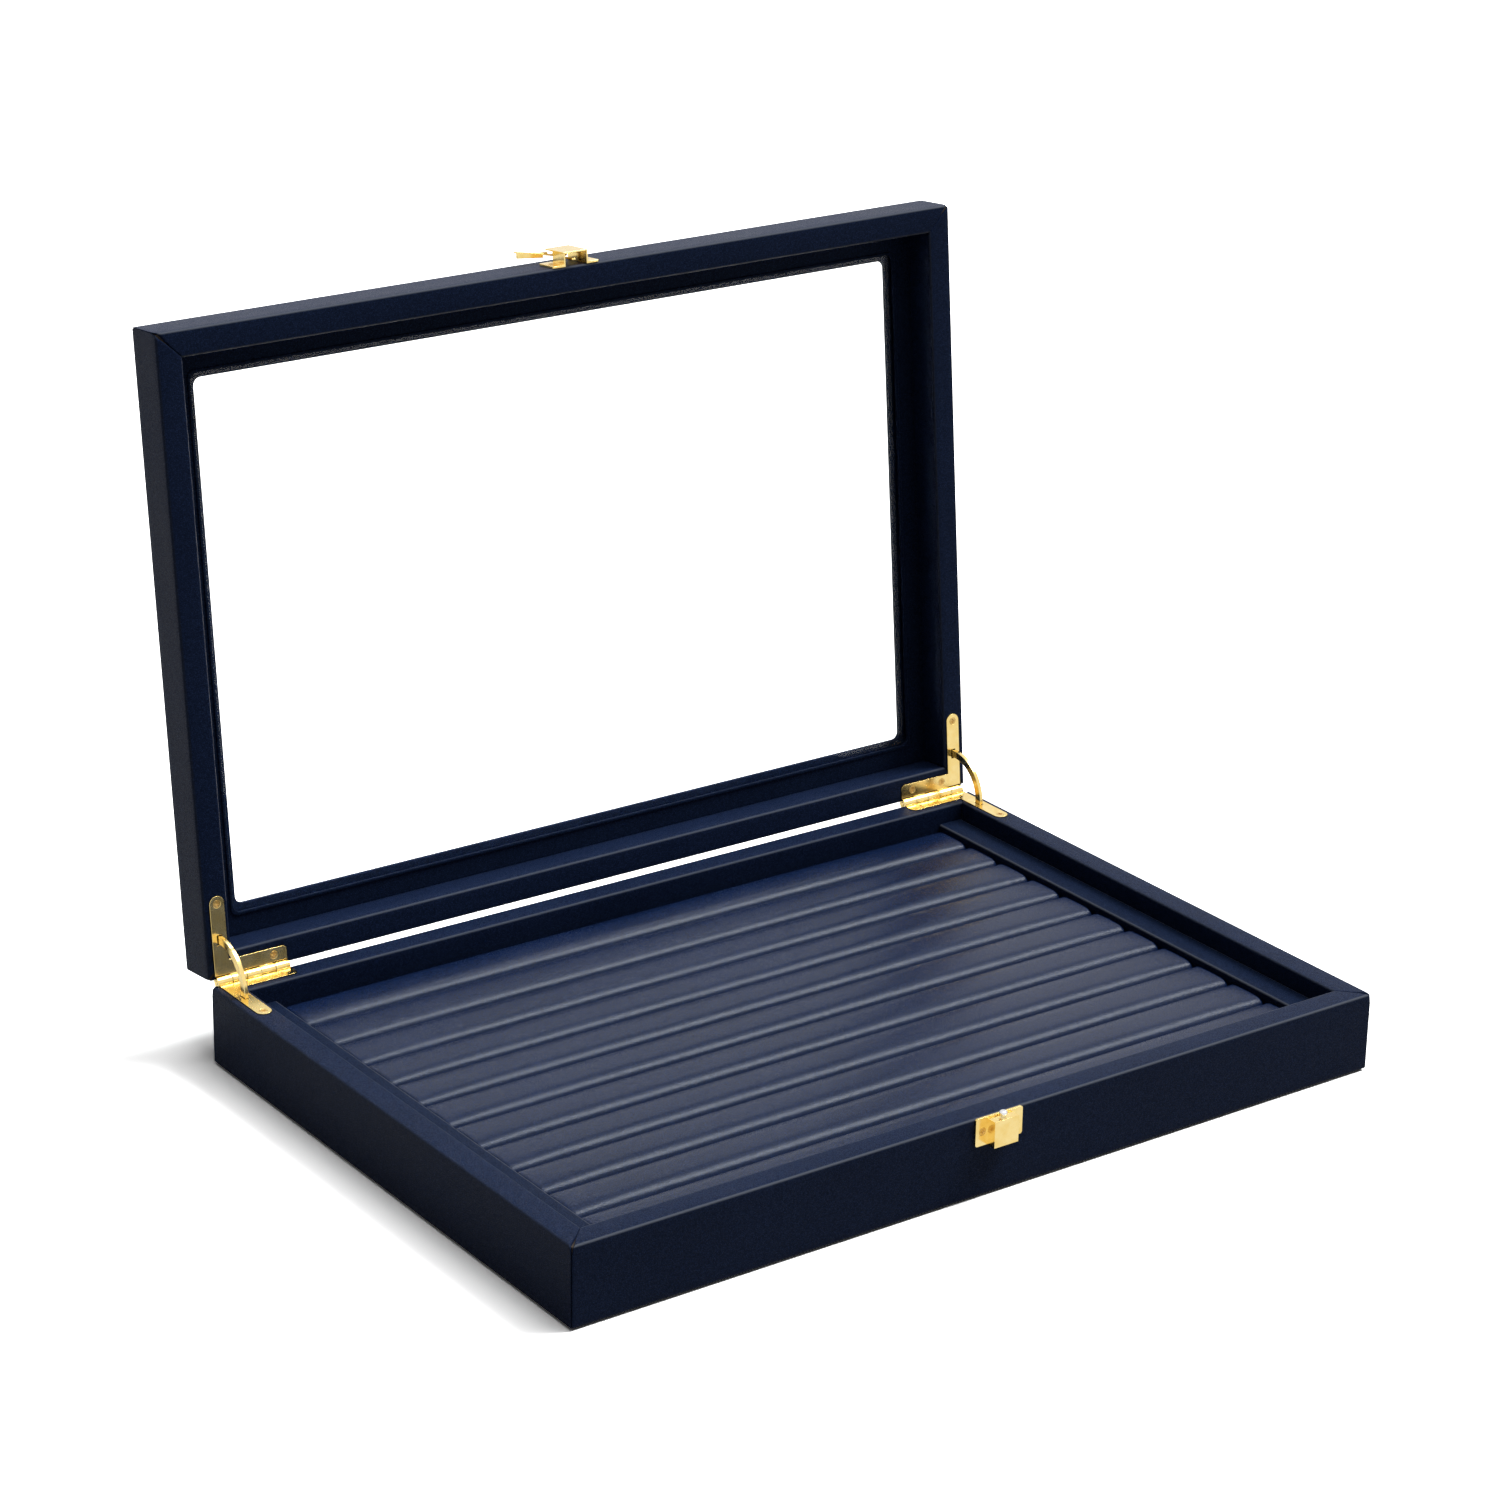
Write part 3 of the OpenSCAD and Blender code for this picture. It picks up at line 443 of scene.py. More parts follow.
def coated_glass():
    """Clear glass with little reflection. A ray that looks for a lamp goes straight through it."""
    material, tree, shader, place = new_material("pane_glass")
    wave = noise(tree, place, 9.0, 1.0).outputs["Fac"]
    tree.links.new(bump(tree, wave, 0.01 * mm, 0.05), shader.inputs["Normal"])
    shader.inputs["Base Color"].default_value = (0.985, 0.995, 0.995, 1)
    shader.inputs["Roughness"].default_value = 0.0
    shader.inputs["Transmission Weight"].default_value = 1.0
    shader.inputs["IOR"].default_value = GLASS_INDEX
    through = add_node(tree, "ShaderNodeBsdfTransparent", {"Color": (0.96, 0.975, 0.975, 1)})
    lamp_ray = add_node(tree, "ShaderNodeLightPath").outputs["Is Shadow Ray"]
    both = add_node(tree, "ShaderNodeMixShader",
                    {0: lamp_ray, 1: shader.outputs[0], 2: through.outputs[0]})
    output = next(n for n in tree.nodes if n.type == "OUTPUT_MATERIAL")
    tree.links.new(both.outputs[0], output.inputs["Surface"])
    return material


dark_board, black_felt, pane_glass = fibreboard(), felt(), coated_glass()
print("other finishes:", dark_board.name, black_felt.name, pane_glass.name)

# %% [markdown]
# ## The wrapped walls
#
# Each wall is a board wrapped in one folded sheet of leatherette. Seen from its end the sheet
# is a line of straight runs with rounded folds. That line is carried along the wall, and both
# ends are cut at the mitre. Three small things make it look like a wrap: the folds are
# rounded, the ends of the sheet roll in at the mitre, and the rim's mitre opens into a small
# notch at the outer corner, where the skin is pulled over two edges at once.

# %% Fold a sheet round a board
SKIN_T = 0.75 * mm
FOLD_R = 0.9 * mm
SHEET_STEP = 2.6 * mm
FOLD_STEPS = 7


def folded_sheet(corners):
    """Follows straight runs between corners and rounds each corner with a quarter circle.
    Returns the outer line, the inward direction at each of its points, and how much paler it is
    drawn, partly for wear and partly as painted highlight: nothing on a run, and the sine of
    twice the angle on a fold."""
    corners = np.array(corners, float)
    ways = np.diff(corners, axis=0)
    ways /= np.linalg.norm(ways, axis=1)[:, None]
    line, inward, wear_and_highlight = [], [], []
    for i, way in enumerate(ways):
        side = np.array([way[1], -way[0]])
        start = corners[i] + (FOLD_R * way if i else 0)
        end = corners[i + 1] - (FOLD_R * way if i + 1 < len(ways) else 0)
        count = max(3, int(np.linalg.norm(end - start) / SHEET_STEP) + 1)
        line.append(start + np.linspace(0, 1, count)[:, None] * (end - start))
        inward.append(np.repeat(side[None], count, 0))
        wear_and_highlight.append(np.zeros(count))
        if i + 1 < len(ways):
            a = np.linspace(0, math.pi / 2, FOLD_STEPS)[1:-1, None]
            out = np.sin(a) * way - np.cos(a) * side
            line.append(end + FOLD_R * (side + out))
            inward.append(-out)
            # The middle of a fold is drawn palest: partly wear, partly painted highlight.
            wear_and_highlight.append(np.sin(2 * a[:, 0]))
    return np.concatenate(line), np.concatenate(inward), np.concatenate(wear_and_highlight)


def side_points(side, along, depth, height):
    """Turns (along, depth, height) of a wall into the box's coordinates for its side."""
    if side == "front":
        return np.stack([along, depth - BOX_D / 2, height], -1)
    if side == "back":
        return np.stack([-along, BOX_D / 2 - depth, height], -1)
    if side == "left":
        return np.stack([depth - BOX_W / 2, -along, height], -1)
    return np.stack([BOX_W / 2 - depth, along, height], -1)


# %% Carry the sheet along a wall
MITRE_GAP = 0.2 * mm
NOTCH_W = 1.3 * mm
NOTCH_L = 4.5 * mm
RIPPLE = 0.05 * mm
# How much paler each side's folds are drawn: partly wear, most at the front where hands open the
# lid, and partly painted highlight, set by how the light falls on each side.
WEAR_AND_HIGHLIGHT_BY_SIDE = {"front": 0.9, "back": 0.6, "left": 0.15, "right": 0.3}
END_STEPS = np.array([0, 0.1, 0.3, 0.8, 1.8, 3.5, 6]) * mm
END_ROLL = np.array([0.28, 0.1, 0.02, 0, 0, 0, 0]) * mm


def wrapped_wall(side, corners, rim, seed):
    """A wall's sheet as a closed shell. A point at depth d lies on the mitre at half the side's
    length less d. Near an end the stations keep their distance from the mitre, and between the
    ends they are spaced evenly. The last stations roll inwards, and the notch pulls back what
    is near both the rim and the outer face, by less the further in it is."""
    line, inward, wear_and_highlight = folded_sheet(corners)
    half = (BOX_W if side in ("front", "back") else BOX_D) / 2
    middle = np.linspace(1, -1, int(2 * half / SHEET_STEP))[1:-1]
    sign = np.concatenate([np.ones(len(END_STEPS)), middle, -np.ones(len(END_STEPS))])
    back = np.concatenate([END_STEPS, np.full(len(middle), END_STEPS[-1]), END_STEPS[::-1]])
    roll = np.concatenate([END_ROLL, np.zeros(len(middle)), END_ROLL[::-1]])
    round_it = np.r_[0, np.cumsum(np.linalg.norm(np.diff(line, axis=0), axis=1))]
    rippled = RIPPLE * ripple(sign[:, None] * half, round_it[None, :], seed)

    def layer(sunk):
        section = line[None] + sunk[..., None] * inward[None]
        depth, height = section[..., 0], section[..., 1]
        near_rim = np.clip(1 - np.abs(height - rim) / (1.5 * mm), 0, 1)
        fade = np.clip(1 - back[:, None] / (3.5 * mm), 0, 1)
        notch = NOTCH_W * np.clip(1 - depth / NOTCH_L, 0, 1) * near_rim * fade
        along = sign[:, None] * (half - depth - MITRE_GAP / 2 - back[:, None] - notch)
        return side_points(side, along, depth, height)

    outer = layer(roll[:, None] + rippled)
    inner = layer(np.full(rippled.shape, SKIN_T))
    ring = np.concatenate([outer, inner[:, ::-1]], 1)
    rows, columns, n = ring.shape[0], ring.shape[1], len(line)
    i = np.arange(n - 1)
    cap = np.stack([i, i + 1, columns - 2 - i, columns - 1 - i], -1)
    faces = np.concatenate([grid_quads(rows, columns), cap, cap + (rows - 1) * columns])
    # The folds are drawn paler by side: partly wear, partly painted highlight.
    wear_and_highlight_ring = np.concatenate([np.tile(WEAR_AND_HIGHLIGHT_BY_SIDE[side] * wear_and_highlight, (rows, 1)), np.zeros((rows, n))], 1)
    return ring, faces, wear_and_highlight_ring


BASE_FOLDS = [
    (FLOOR_LAP, WALL_LOW),
    (0, WALL_LOW),
    (0, RIM_Z),
    (WALL_T, RIM_Z),
    (WALL_T, FLOOR_TOP),
]
LID_FOLDS = [
    (WALL_T, PANEL_LOW),
    (WALL_T, LID_LOW),
    (0, LID_LOW),
    (0, LID_TOP),
    (WALL_T - PANEL_LAP, LID_TOP),
]

# %% [markdown]
# ### Cut-outs for the hinges
#
# The hinge leaves lie in the rims, so the leatherette is cut round them after it is glued.
# A Boolean does the same job as the knife. Its cutters are drawn a little larger than the
# leaf: the plate with its rounded corner, the arm with its round end, the groove for the
# barrel, and the slot that the curved stay slides in.

# %% Knife shapes
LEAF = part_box("right_hinge_base_leaf")
LEAF_X0, LEAF_X1 = LEAF[0].x, LEAF[1].x
LEAF_TIP_Y = LEAF[0].y
BARREL_R = LEAF[1].z - AXIS_Z
LEAF_LOW = AXIS_Z - 1.4 * mm
LEAF_REACH = 7.7 * mm
ARM_W = 6 * mm
LEAF_R = 2 * mm
INLET = 0.25 * mm
SLOT_HALF = 1.05 * mm
SLOT_FRONT, SLOT_BACK = 18.5 * mm, 7.4 * mm
SLOT_DEEP = 15.6 * mm


def arc(centre, radius, start, end, steps=9):
    """Points on a circle about centre between two angles in degrees."""
    a = np.radians(np.linspace(start, end, steps))
    return np.stack([centre[0] + radius * np.cos(a), centre[1] + radius * np.sin(a)], -1)


def prism(name, outline, low, high):
    """An outline in X and Y, extruded from one height to another."""
    n = len(outline)
    flat = np.asarray(outline)
    points = np.concatenate([np.c_[flat, np.full(n, low)], np.c_[flat, np.full(n, high)]])
    return make_piece(name, points, capped_tube(2, n))


def knife_shapes(mirrored, lid):
    """The cutters of one hinge. They are drawn for the right-hand hinge in the base, mirrored
    in X for the left one, and mirrored in the plane between the rims and swung for the lid."""
    arm_x = LEAF_X1 - ARM_W / 2
    tip = ARM_W / 2 + INLET
    near = AXIS_Y - LEAF_REACH - INLET
    plate = np.concatenate([
        [[LEAF_X1 + INLET, AXIS_Y]],
        [[LEAF_X0 - INLET, AXIS_Y]],
        arc((LEAF_X0 + LEAF_R, near + LEAF_R), LEAF_R + INLET, 180, 270),
        [[arm_x - tip, near]],
        arc((arm_x, LEAF_TIP_Y + ARM_W / 2), tip, 180, 360, 17),
    ])
    slot = [
        (arm_x - SLOT_HALF, AXIS_Y - SLOT_FRONT),
        (arm_x + SLOT_HALF, AXIS_Y - SLOT_FRONT),
        (arm_x + SLOT_HALF, AXIS_Y - SLOT_BACK),
        (arm_x - SLOT_HALF, AXIS_Y - SLOT_BACK),
    ]
    groove = arc((AXIS_Y, AXIS_Z), BARREL_R + INLET, 0, 352, 45)
    barrel = prism("knife", groove, LEAF_X0 - INLET, LEAF_X1 + INLET)
    barrel.data.vertices.foreach_set("co", points_of(barrel.data)[:, [2, 0, 1]].ravel())
    cutters = [
        prism("knife", plate, LEAF_LOW, AXIS_Z + 2 * mm),
        prism("knife", slot, AXIS_Z - SLOT_DEEP, AXIS_Z + 1 * mm),
        barrel,
    ]
    for cutter in cutters:
        points = points_of(cutter.data)
        if mirrored:
            points = points * [-1, 1, 1]
        if lid:
            points[:, 2] = 2 * AXIS_Z - points[:, 2]
            points = swing(points, LID_ANGLE)
        cutter.data.vertices.foreach_set("co", points.ravel())
        face_outwards(cutter.data)
    return cutters


def cut(piece, cutters):
    """Takes the cutters away from a piece, one after the other."""
    for cutter in cutters:
        knife = piece.modifiers.new("knife", "BOOLEAN")
        knife.operation, knife.solver, knife.object = "DIFFERENCE", "EXACT", cutter
    bake_modifiers(piece)


# %% Wrap the eight walls
def wrap_box(part, folds, rim):
    """The four sheets of the base or the lid, cut round both hinges."""
    lid = part == "lid"
    knives = {side: knife_shapes(side == "left", lid) for side in ("left", "right")}
    for seed, side in enumerate(("front", "back", "left", "right")):
        points, faces, wear_and_highlight = wrapped_wall(side, folds, rim, seed + (10 if lid else 0))
        if lid:
            points = swing(points, LID_ANGLE)
        sheet = make_piece("%s_%s_wrap" % (part, side), points, faces, wear_and_highlight=wear_and_highlight)
        if side == "back":
            cut(sheet, knives["left"] + knives["right"])
        elif side in knives:
            cut(sheet, knives[side])
        sheet.data.set_sharp_from_angle(angle=math.radians(40))
        show(sheet, part, "navy_leatherette", navy_wrap, "%s_%s_skin" % (part, side))
        print(sheet.name, len(sheet.data.polygons), "faces")
    for cutter in knives["left"] + knives["right"]:
        bpy.data.objects.remove(cutter)


wrap_box("base", BASE_FOLDS, RIM_Z)
wrap_box("lid", LID_FOLDS, LID_LOW)

# %% [markdown]
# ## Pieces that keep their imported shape
#
# The boards and the felt are right as they were packed and only need a finish. The metal
# fittings and the two frames round the window keep their shape too, but no real edge is
# perfectly sharp, and a rounded edge is what catches the light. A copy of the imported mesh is
# merged, its flat faces are joined, and a Bevel modifier rounds its edges. Its normals are
# then weighted by the size of the faces, so that the flat ones stay flat.


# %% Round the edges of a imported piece
EDGE_ANGLE = math.radians(35)


def rounded_copy(node, body, slot, material, width, segments=2):
    """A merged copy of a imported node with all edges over 35 degrees rounded."""
    mesh = frame["nodes"][node].data.copy()
    work = bmesh.new()
    work.from_mesh(mesh)
    bmesh.ops.remove_doubles(work, verts=work.verts, dist=0.002 * mm)
    bmesh.ops.dissolve_limit(work, angle_limit=math.radians(0.5), verts=work.verts,
                             edges=work.edges)
    bmesh.ops.recalc_face_normals(work, faces=work.faces)
    work.to_mesh(mesh)
    work.free()
    mesh.shade_smooth()
    mesh.set_sharp_from_angle(angle=EDGE_ANGLE)
    piece = bpy.data.objects.new(node + "_finish", mesh)
    bpy.context.scene.collection.objects.link(piece)
    bevel = piece.modifiers.new("rounded edges", "BEVEL")
    bevel.width = width
    bevel.segments = segments
    bevel.limit_method = "ANGLE"
    bevel.angle_limit = EDGE_ANGLE
    flatter = piece.modifiers.new("flat faces stay flat", "WEIGHTED_NORMAL")
    flatter.weight = 100
    flatter.keep_sharp = True
    bake_modifiers(piece)
    return show(piece, body, slot, material, node)


# %% Pieces with rounded edges
# Each row is a node, its body, its slot, its finish, the rounding in mm, and its segments.
ROUNDED = []
for side in ("left", "right"):
    hinge_name = side + "_hinge_"
    ROUNDED += [
        (hinge_name + "base_leaf", "base", "gilt_brass", gilding, 0.28, 3),
        (hinge_name + "base_screws", "base", "gilt_brass", screw_brass, 0.08, 2),
        (hinge_name + "pin", "base", "gilt_brass", gilding, 0.15, 2),
        (hinge_name + "lid_leaf", "lid", "gilt_brass", gilding, 0.28, 3),
        (hinge_name + "lid_screws", "lid", "gilt_brass", screw_brass, 0.08, 2),
        (side + "_stay_arm", side + "_stay", "gilt_brass", gilding, 0.15, 2),
    ]
ROUNDED += [
    ("clasp_base_plate", "base", "gilt_brass", gilding, 0.15, 2),
    ("clasp_base_screws", "base", "gilt_brass", screw_brass, 0.08, 2),
    ("clasp_stud", "base", "bright_steel", bright_steel, 0.1, 2),
    ("clasp_lid_bracket", "lid", "gilt_brass", gilding, 0.15, 2),
    ("clasp_lid_screws", "lid", "gilt_brass", screw_brass, 0.08, 2),
    ("lever_rivet", "lid", "gilt_brass", gilding, 0.1, 2),
    ("thumb_lever", "lever", "gilt_brass", gilding, 0.12, 2),
    ("lid_top_panel", "lid", "navy_leatherette", navy_wrap, 0.35, 3),
    # The liner takes the darker ledge leatherette, whose colour is painted shade.
    ("lid_liner", "lid", "navy_leatherette", navy_ledge_painted_shade, 0.25, 3),
]
for node, body, slot, material, width, segments in ROUNDED:
    rounded_copy(node, body, slot, material, width * mm, segments)

# %% [markdown]
# The pane lies against the top panel on one side and the liner on the other. Two surfaces in
# one plane would flicker in a render, so the pane's faces are drawn in by a hair, as if it
# lay on a thin bed, and its edges are rounded as a glazier grinds them.

# %% Pane of glass
PANE_BED = 0.06 * mm
pane = rounded_copy("glass_pane", "lid", "clear_glass", pane_glass, 0.3 * mm)
closed = swing(points_of(pane.data), -LID_ANGLE)
closed -= PANE_BED * np.sign(closed - (closed.min(0) + closed.max(0)) / 2)
pane.data.vertices.foreach_set("co", swing(closed, LID_ANGLE).ravel())
print("pane of %.1f x %.1f mm" % tuple((closed.max(0) - closed.min(0))[:2] / mm))

# %% Finishes of the pieces that are shown as packed
PACKED_FINISHES = {
    "underside_felt": black_felt,
    "base_floor": dark_board,
    "tray_board": dark_board,
}
for part in ("base", "lid"):
    for side in ("front", "back", "left", "right"):
        PACKED_FINISHES["%s_%s_core" % (part, side)] = dark_board
for node, material in PACKED_FINISHES.items():
    mesh = frame["nodes"][node].data
    mesh.materials.clear()
    mesh.materials.append(material)
print("packed pieces with a finish:", len(PACKED_FINISHES))

# %% [markdown]
# ## The ledges
#
# A flat ledge runs along each end of the tray and holds the bars' ends. It is a wooden strip
# covered like the walls, so its section is the same kind of folded line, closed below.


# %% Ledges
# The ledges' upper folds are drawn paler too: partly wear, partly painted highlight.
LEDGE_WEAR_AND_HIGHLIGHT = 0.8
LEDGE_STATIONS = 84


def tray_ledge(sign, name, node):
    """Carries the ledge's section along Y: up its outer side, over the top and down its inner
    side, with both upper edges rounded."""
    low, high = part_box(node)
    width = high.x - low.x
    line, inward, wear_and_highlight = folded_sheet([(0, low.z), (0, high.z), (width, high.z), (width, low.z)])
    stations = np.linspace(low.y, high.y, LEDGE_STATIONS)
    wave = RIPPLE * ripple(stations[:, None], np.linspace(0, 40 * mm, len(line))[None], 30 + sign)
    section = line[None] + wave[..., None] * inward[None]
    x = high.x - section[..., 0] if sign < 0 else low.x + section[..., 0]
    points = np.stack([x, np.repeat(stations[:, None], len(line), 1), section[..., 1]], -1)
    wear_and_highlight_strip = np.tile(LEDGE_WEAR_AND_HIGHLIGHT * wear_and_highlight, (len(points), 1))
    strip = make_piece(name, points, capped_tube(*points.shape[:2]), wear_and_highlight=wear_and_highlight_strip)
    # The ledge's darker leatherette colour is painted shade.
    return show(strip, "base", "ledge_leatherette", navy_ledge_painted_shade, node)


tray_ledge(-1, "left_ledge_wrap", "tray_left_ledge")
tray_ledge(1, "right_ledge_wrap", "tray_right_ledge")
print("ledges made")

# %% [markdown]
# ## The padded bars
#
# Each bar is a strip of foam in a glued leatherette cover. Its top is flat, its front edge is
# widely rounded and its back edge tightly, its sides pull in towards a narrow foot, and its
# ends are nearly square. The section is an oblong with those corners, carried along the bar
# and drawn in at both ends. What that form lacks is the way a cover sits on foam, so it is
# then filled by a short cloth simulation with pressure. It pushes about half of the points
# further than they may go, and each is kept within a quarter of a millimetre of its place, so
# the shape comes mostly from the section.

# %% Form of a bar
BARS = [n for n in sorted(frame["nodes"]) if n.startswith("padded_bar_")]
BAR_FRONT_R = 3.6 * mm
BAR_BACK_R = 1.0 * mm
BAR_FOOT_R = 1.0 * mm
BAR_END_R = 1.7 * mm
BAR_CROWN = 0.35 * mm
BAR_FALL = 0.5 * mm
BAR_PULL = 0.6 * mm
BAR_SLACK = 0.15 * mm
BAR_REACH = 0.8 * mm
BAR_STEP = 2.3 * mm
BAR_RING = 40


def bar_section(half, height):
    """An oblong from -half at the front to half at the back and from 0 to height, with its four
    corners rounded, as BAR_RING points evenly spaced along its outline."""
    outline = np.concatenate([
        arc((half - BAR_FOOT_R, BAR_FOOT_R), BAR_FOOT_R, 270, 360),
        arc((half - BAR_BACK_R, height - BAR_BACK_R), BAR_BACK_R, 0, 90, 13),
        arc((BAR_FRONT_R - half, height - BAR_FRONT_R), BAR_FRONT_R, 90, 180, 25),
        arc((BAR_FOOT_R - half, BAR_FOOT_R), BAR_FOOT_R, 180, 270),
    ])
    outline = np.concatenate([outline, outline[:1]])
    length = np.r_[0, np.cumsum(np.linalg.norm(np.diff(outline, axis=0), axis=1))]
    place = (np.arange(BAR_RING) + 0.5) / BAR_RING * length[-1]
    return np.interp(place, length, outline[:, 0]), np.interp(place, length, outline[:, 1])


def bar_form(node, seed):
    """Rings of the section along the bar. The top falls from the middle of the bar's width with
    the square of the distance and towards its ends with the fourth power, the sides pull in
    with the square of the depth below the top, the rings shrink by a quarter circle at each
    end, and a few more close the end."""
    low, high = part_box(node)
    length, width = high.x - low.x + 2 * BAR_REACH, high.y - low.y - 2 * BAR_SLACK
    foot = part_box("tray_board")[1].z + 0.06 * mm
    height = high.z - foot - BAR_SLACK
    a = np.radians(np.linspace(0, 90, 6))
    rounded = BAR_END_R * (1 - np.cos(a))
    inner = np.linspace(-length / 2 + BAR_END_R, length / 2 - BAR_END_R, int(length / BAR_STEP))
    shrink = np.array([0.15, 0.4, 0.65, 0.85])
    x = np.concatenate([np.full(4, -length / 2), rounded - length / 2, inner[1:-1],
                        length / 2 - rounded[::-1], np.full(4, length / 2)])
    scale = np.concatenate([shrink, np.ones(len(rounded) * 2 + len(inner) - 2), shrink[::-1]])
    reach = np.clip(length / 2 - np.abs(x), 0, BAR_END_R)
    inset = (BAR_END_R - np.sqrt(np.maximum(0, BAR_END_R**2 - (BAR_END_R - reach) ** 2)))[:, None]
    section_y, section_z = bar_section(width / 2, height)
    up = section_z[None] / height
    across = section_y[None] / (width / 2)
    y = section_y[None] * (1 - 2 * inset / width) - np.sign(section_y) * BAR_PULL * (1 - up) ** 2
    z = section_z[None] * (1 - inset / height)
    z = z - up**2 * (BAR_CROWN * across**2 + BAR_FALL * np.abs(2 * x[:, None] / length) ** 4)
    z = height / 2 + (z - height / 2) * scale[:, None]
    y = y * scale[:, None]
    wave = ripple(x[:, None], y, seed, longest=110 * mm, shortest=40 * mm) - 0.5
    z = z + 0.12 * mm * wave * up**2
    middle = (low.y + high.y) / 2
    return np.stack([np.repeat(x[:, None], BAR_RING, 1), middle + y, foot + z], -1)


# %% Covers before the filling
covers = []
for number, node in enumerate(BARS):
    points = bar_form(node, 100 + number)
    faces = capped_tube(*points.shape[:2])
    cover = make_piece("bar_cover_%02d" % (number + 1), points, faces, sharp=80)
    show(cover, "base", "padded_leatherette", navy_padding, node)
    covers.append(cover)
print(len(covers), "covers of", len(covers[0].data.vertices), "points")

# %% Fill the covers
FILL_FRAMES = 14
FILL_MOST = 0.25 * mm
FOOT_BAND = 1.2 * mm


def start_filling(cover):
    """Pins the foot of a cover and puts a cloth with pressure on it."""
    points = points_of(cover.data)
    glued = np.flatnonzero(points[:, 2] < points[:, 2].min() + FOOT_BAND)
    cover.vertex_groups.new(name="foot").add(glued.tolist(), 1.0, "REPLACE")
    cloth = cover.modifiers.new("filling", "CLOTH")
    settings = cloth.settings
    settings.quality = 5
    settings.mass = 0.3
    settings.tension_stiffness = 25
    settings.compression_stiffness = 25
    settings.bending_stiffness = 2.0
    settings.use_pressure = True
    settings.uniform_pressure_force = 4.0
    settings.vertex_group_mass = "foot"
    settings.effector_weights.gravity = 0.0
    cloth.point_cache.frame_start = 1
    cloth.point_cache.frame_end = FILL_FRAMES
    return points


def settle(cover, before):
    """Moves each point towards where the cloth took it, by no more than FILL_MOST. Gives how
    far the cloth moved the points on average before that limit, and the share that it holds."""
    graph = bpy.context.evaluated_depsgraph_get()
    move = points_of(cover.evaluated_get(graph).data) - before
    size = np.linalg.norm(move, axis=1)[:, None]
    move *= np.minimum(1, FILL_MOST / np.maximum(size, 1e-9))
    cover.modifiers.clear()
    cover.vertex_groups.clear()
    cover.data.vertices.foreach_set("co", (before + move).ravel())
    cover.data.update()
    return size.mean(), (size > FILL_MOST).mean()


starts = [start_filling(cover) for cover in covers]
for step in range(1, FILL_FRAMES + 1):
    bpy.context.scene.frame_set(step)
moved = [settle(cover, before) for cover, before in zip(covers, starts)]
bpy.context.scene.frame_set(1)
swelling, held = np.mean(moved, axis=0)
print("mean swelling %.2f mm before the limit of %.2f mm, which holds %.0f%% of the points" % (
    swelling / mm, FILL_MOST / mm, 100 * held))
for cover in covers:
    smooth = cover.modifiers.new("smooth cover", "SUBSURF")
    smooth.levels = smooth.render_levels = 1

# %% [markdown]
# ## The lever's spring
#
# A torsion spring holds the lever's hook under the stud: a close coil round the rivet with
# one leg on the bracket's wall and one along the hook arm. A round wire is a circle carried
# along a path, so the path is worked out first and the circle is turned to face along it.

# %% Spring wire
WIRE_R = 0.23 * mm
PIVOT_H = 10.6 * mm
COIL_R = 1.42 * mm


def spring_path(turns=1.25, pitch=0.5 * mm):
    """Up one leg, round a helix that turns clockwise and climbs one wire for each turn, and out
    along the other leg. X is along the front, Y up it and Z out of it, from the pivot."""
    low, high = closed_span("lever_spring")
    z0 = -BOX_D / 2 - high[1] + WIRE_R
    leg = np.stack([np.full(12, -COIL_R), np.linspace(low[2] - LID_LOW - PIVOT_H + 0.3 * mm, 0, 12),
                    np.full(12, z0)], -1)
    a = np.linspace(0, turns * 2 * math.pi, 70)[1:]
    coil = np.stack([-COIL_R * np.cos(a), COIL_R * np.sin(a), z0 + pitch * a / (2 * math.pi)], -1)
    out = np.stack([np.linspace(0, high[0] - 0.1 * mm, 14), np.full(14, coil[-1, 1]),
                    np.full(14, coil[-1, 2])], -1)[1:]
    return np.concatenate([leg, coil, out])


def wire(path, radius, sides=12):
    """A circle carried along a path: its plane is square to the path, and one of its axes is
    square to the coil's axis too."""
    ahead = np.gradient(path, axis=0)
    ahead /= np.linalg.norm(ahead, axis=1)[:, None]
    across = np.cross(np.array([0, 0, 1.0]), ahead)
    across /= np.linalg.norm(across, axis=1)[:, None]
    up = np.cross(ahead, across)
    a = np.linspace(0, 2 * math.pi, sides, endpoint=False)[None, :, None]
    return path[:, None] + radius * (np.cos(a) * across[:, None] + np.sin(a) * up[:, None])


tube = wire(spring_path(), WIRE_R)
tube = np.stack([tube[..., 0], -BOX_D / 2 - tube[..., 2], LID_LOW + PIVOT_H + tube[..., 1]], -1)
spring = make_piece("lever_spring_wire", swing(tube, LID_ANGLE), capped_tube(*tube.shape[:2]))
show(spring, "lid", "bright_steel", bright_steel, "lever_spring")
wire_length = np.linalg.norm(np.diff(spring_path(), axis=0), axis=1).sum()
print("spring wire of %.0f mm" % (wire_length / mm))

# %% [markdown]
# ## The studio
#
# The photograph shows a product on white. The floor is a pale sheet that receives the shadow.
# What the camera sees of it, also through the glass, is raised until only the close shadow is
# left grey. A polished fitting sees it as white paper. For the rays that light the object it
# is much darker, since its full light made the navy walls paler than in the photograph. The
# world is white for the same seen rays and a faint even light for all others. Two large lamps
# work as softboxes: one overhead, and one high on the right, which draws the bright line along
# the front edge of every bar.


# %% Floor and world
FLOOR_REACH = 8.0
FLOOR_Z = -0.02 * mm
FLOOR_LIGHT, FLOOR_IN_GLOSS, FLOOR_SEEN = 0.12, 1.0, 2.6
WORLD_LIGHT = 0.07


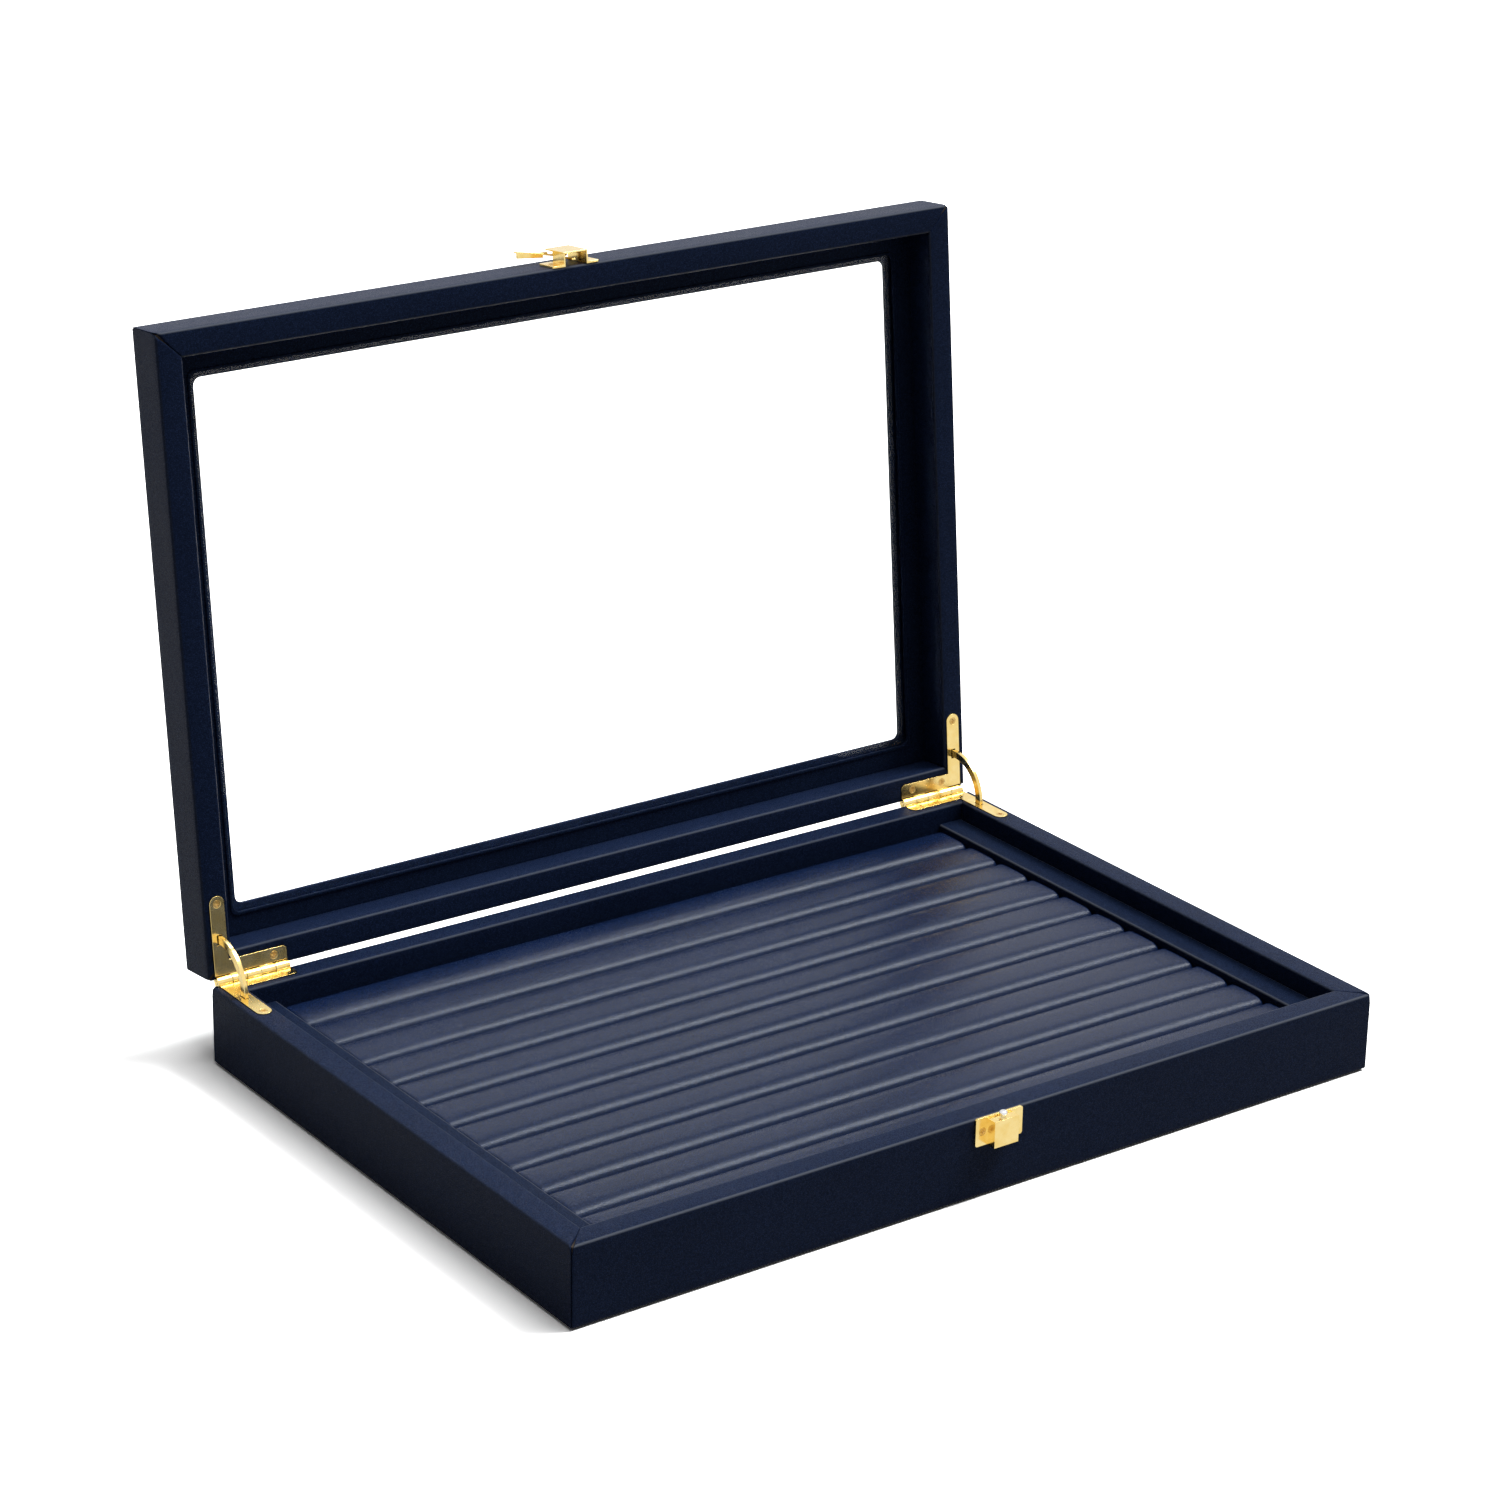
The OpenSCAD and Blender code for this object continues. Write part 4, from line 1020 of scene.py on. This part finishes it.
def chosen(tree, values):
    """The first value for rays that light the object, the second for a ray off a gloss, and the
    third for one from the camera or through the glass. A ray that has already left a matt
    surface lights the object, also where it goes through the glass afterwards."""
    path = add_node(tree, "ShaderNodeLightPath").outputs
    direct = maths(tree, "LESS_THAN", path["Diffuse Depth"], 0.5)
    straight = maths(tree, "MAXIMUM", path["Is Camera Ray"], path["Is Transmission Ray"])
    value = values[0]
    for kind, seen in ((path["Is Glossy Ray"], values[1]), (straight, values[2])):
        counted = maths(tree, "MULTIPLY", kind, direct)
        value = add_node(tree, "ShaderNodeMix", {0: counted, 2: value, 3: seen}).outputs[0]
    return value


def make_floor(values):
    """A pale sheet that looks white outside the close shadow."""
    material = bpy.data.materials.new("pale_sheet")
    material.use_nodes = True
    tree = material.node_tree
    tree.nodes.clear()
    matt = add_node(tree, "ShaderNodeBsdfDiffuse", {"Color": chosen(tree, values)})
    add_node(tree, "ShaderNodeOutputMaterial", {"Surface": matt.outputs[0]})
    corners = [(-1, -1), (1, -1), (1, 1), (-1, 1)]
    mesh = bpy.data.meshes.new("floor")
    points = [(FLOOR_REACH * x, FLOOR_REACH * y, FLOOR_Z) for x, y in corners]
    mesh.from_pydata(points, [], [(0, 1, 2, 3)])
    mesh.materials.append(material)
    floor = bpy.data.objects.new("floor", mesh)
    bpy.context.scene.collection.objects.link(floor)


def make_world(light):
    """White for what is seen, and a faint even light for everything else."""
    world = bpy.data.worlds.new("studio")
    bpy.context.scene.world = world
    world.use_nodes = True
    tree = world.node_tree
    tree.nodes.clear()
    strength = chosen(tree, (light, 1.0, 1.0))
    sky = add_node(tree, "ShaderNodeBackground", {"Color": (1, 1, 1, 1), "Strength": strength})
    add_node(tree, "ShaderNodeOutputWorld", {"Surface": sky.outputs[0]})


# %% Softboxes
def softbox(name, azimuth, elevation, strength, spread):
    """A lamp at a great distance whose disc is spread degrees wide."""
    data = bpy.data.lights.new(name, "SUN")
    data.energy = strength
    data.angle = math.radians(spread)
    lamp = bpy.data.objects.new(name, data)
    lamp.rotation_euler = (math.radians(90 - elevation), 0, math.radians(azimuth))
    bpy.context.scene.collection.objects.link(lamp)


make_floor((FLOOR_LIGHT, FLOOR_IN_GLOSS, FLOOR_SEEN))
make_world(WORLD_LIGHT)
softbox("overhead_softbox", azimuth=80, elevation=76, strength=1.25, spread=50)
softbox("right_softbox", azimuth=75, elevation=55, strength=1.9, spread=24)
bpy.context.scene.view_settings.view_transform = "Standard"
print("studio ready")
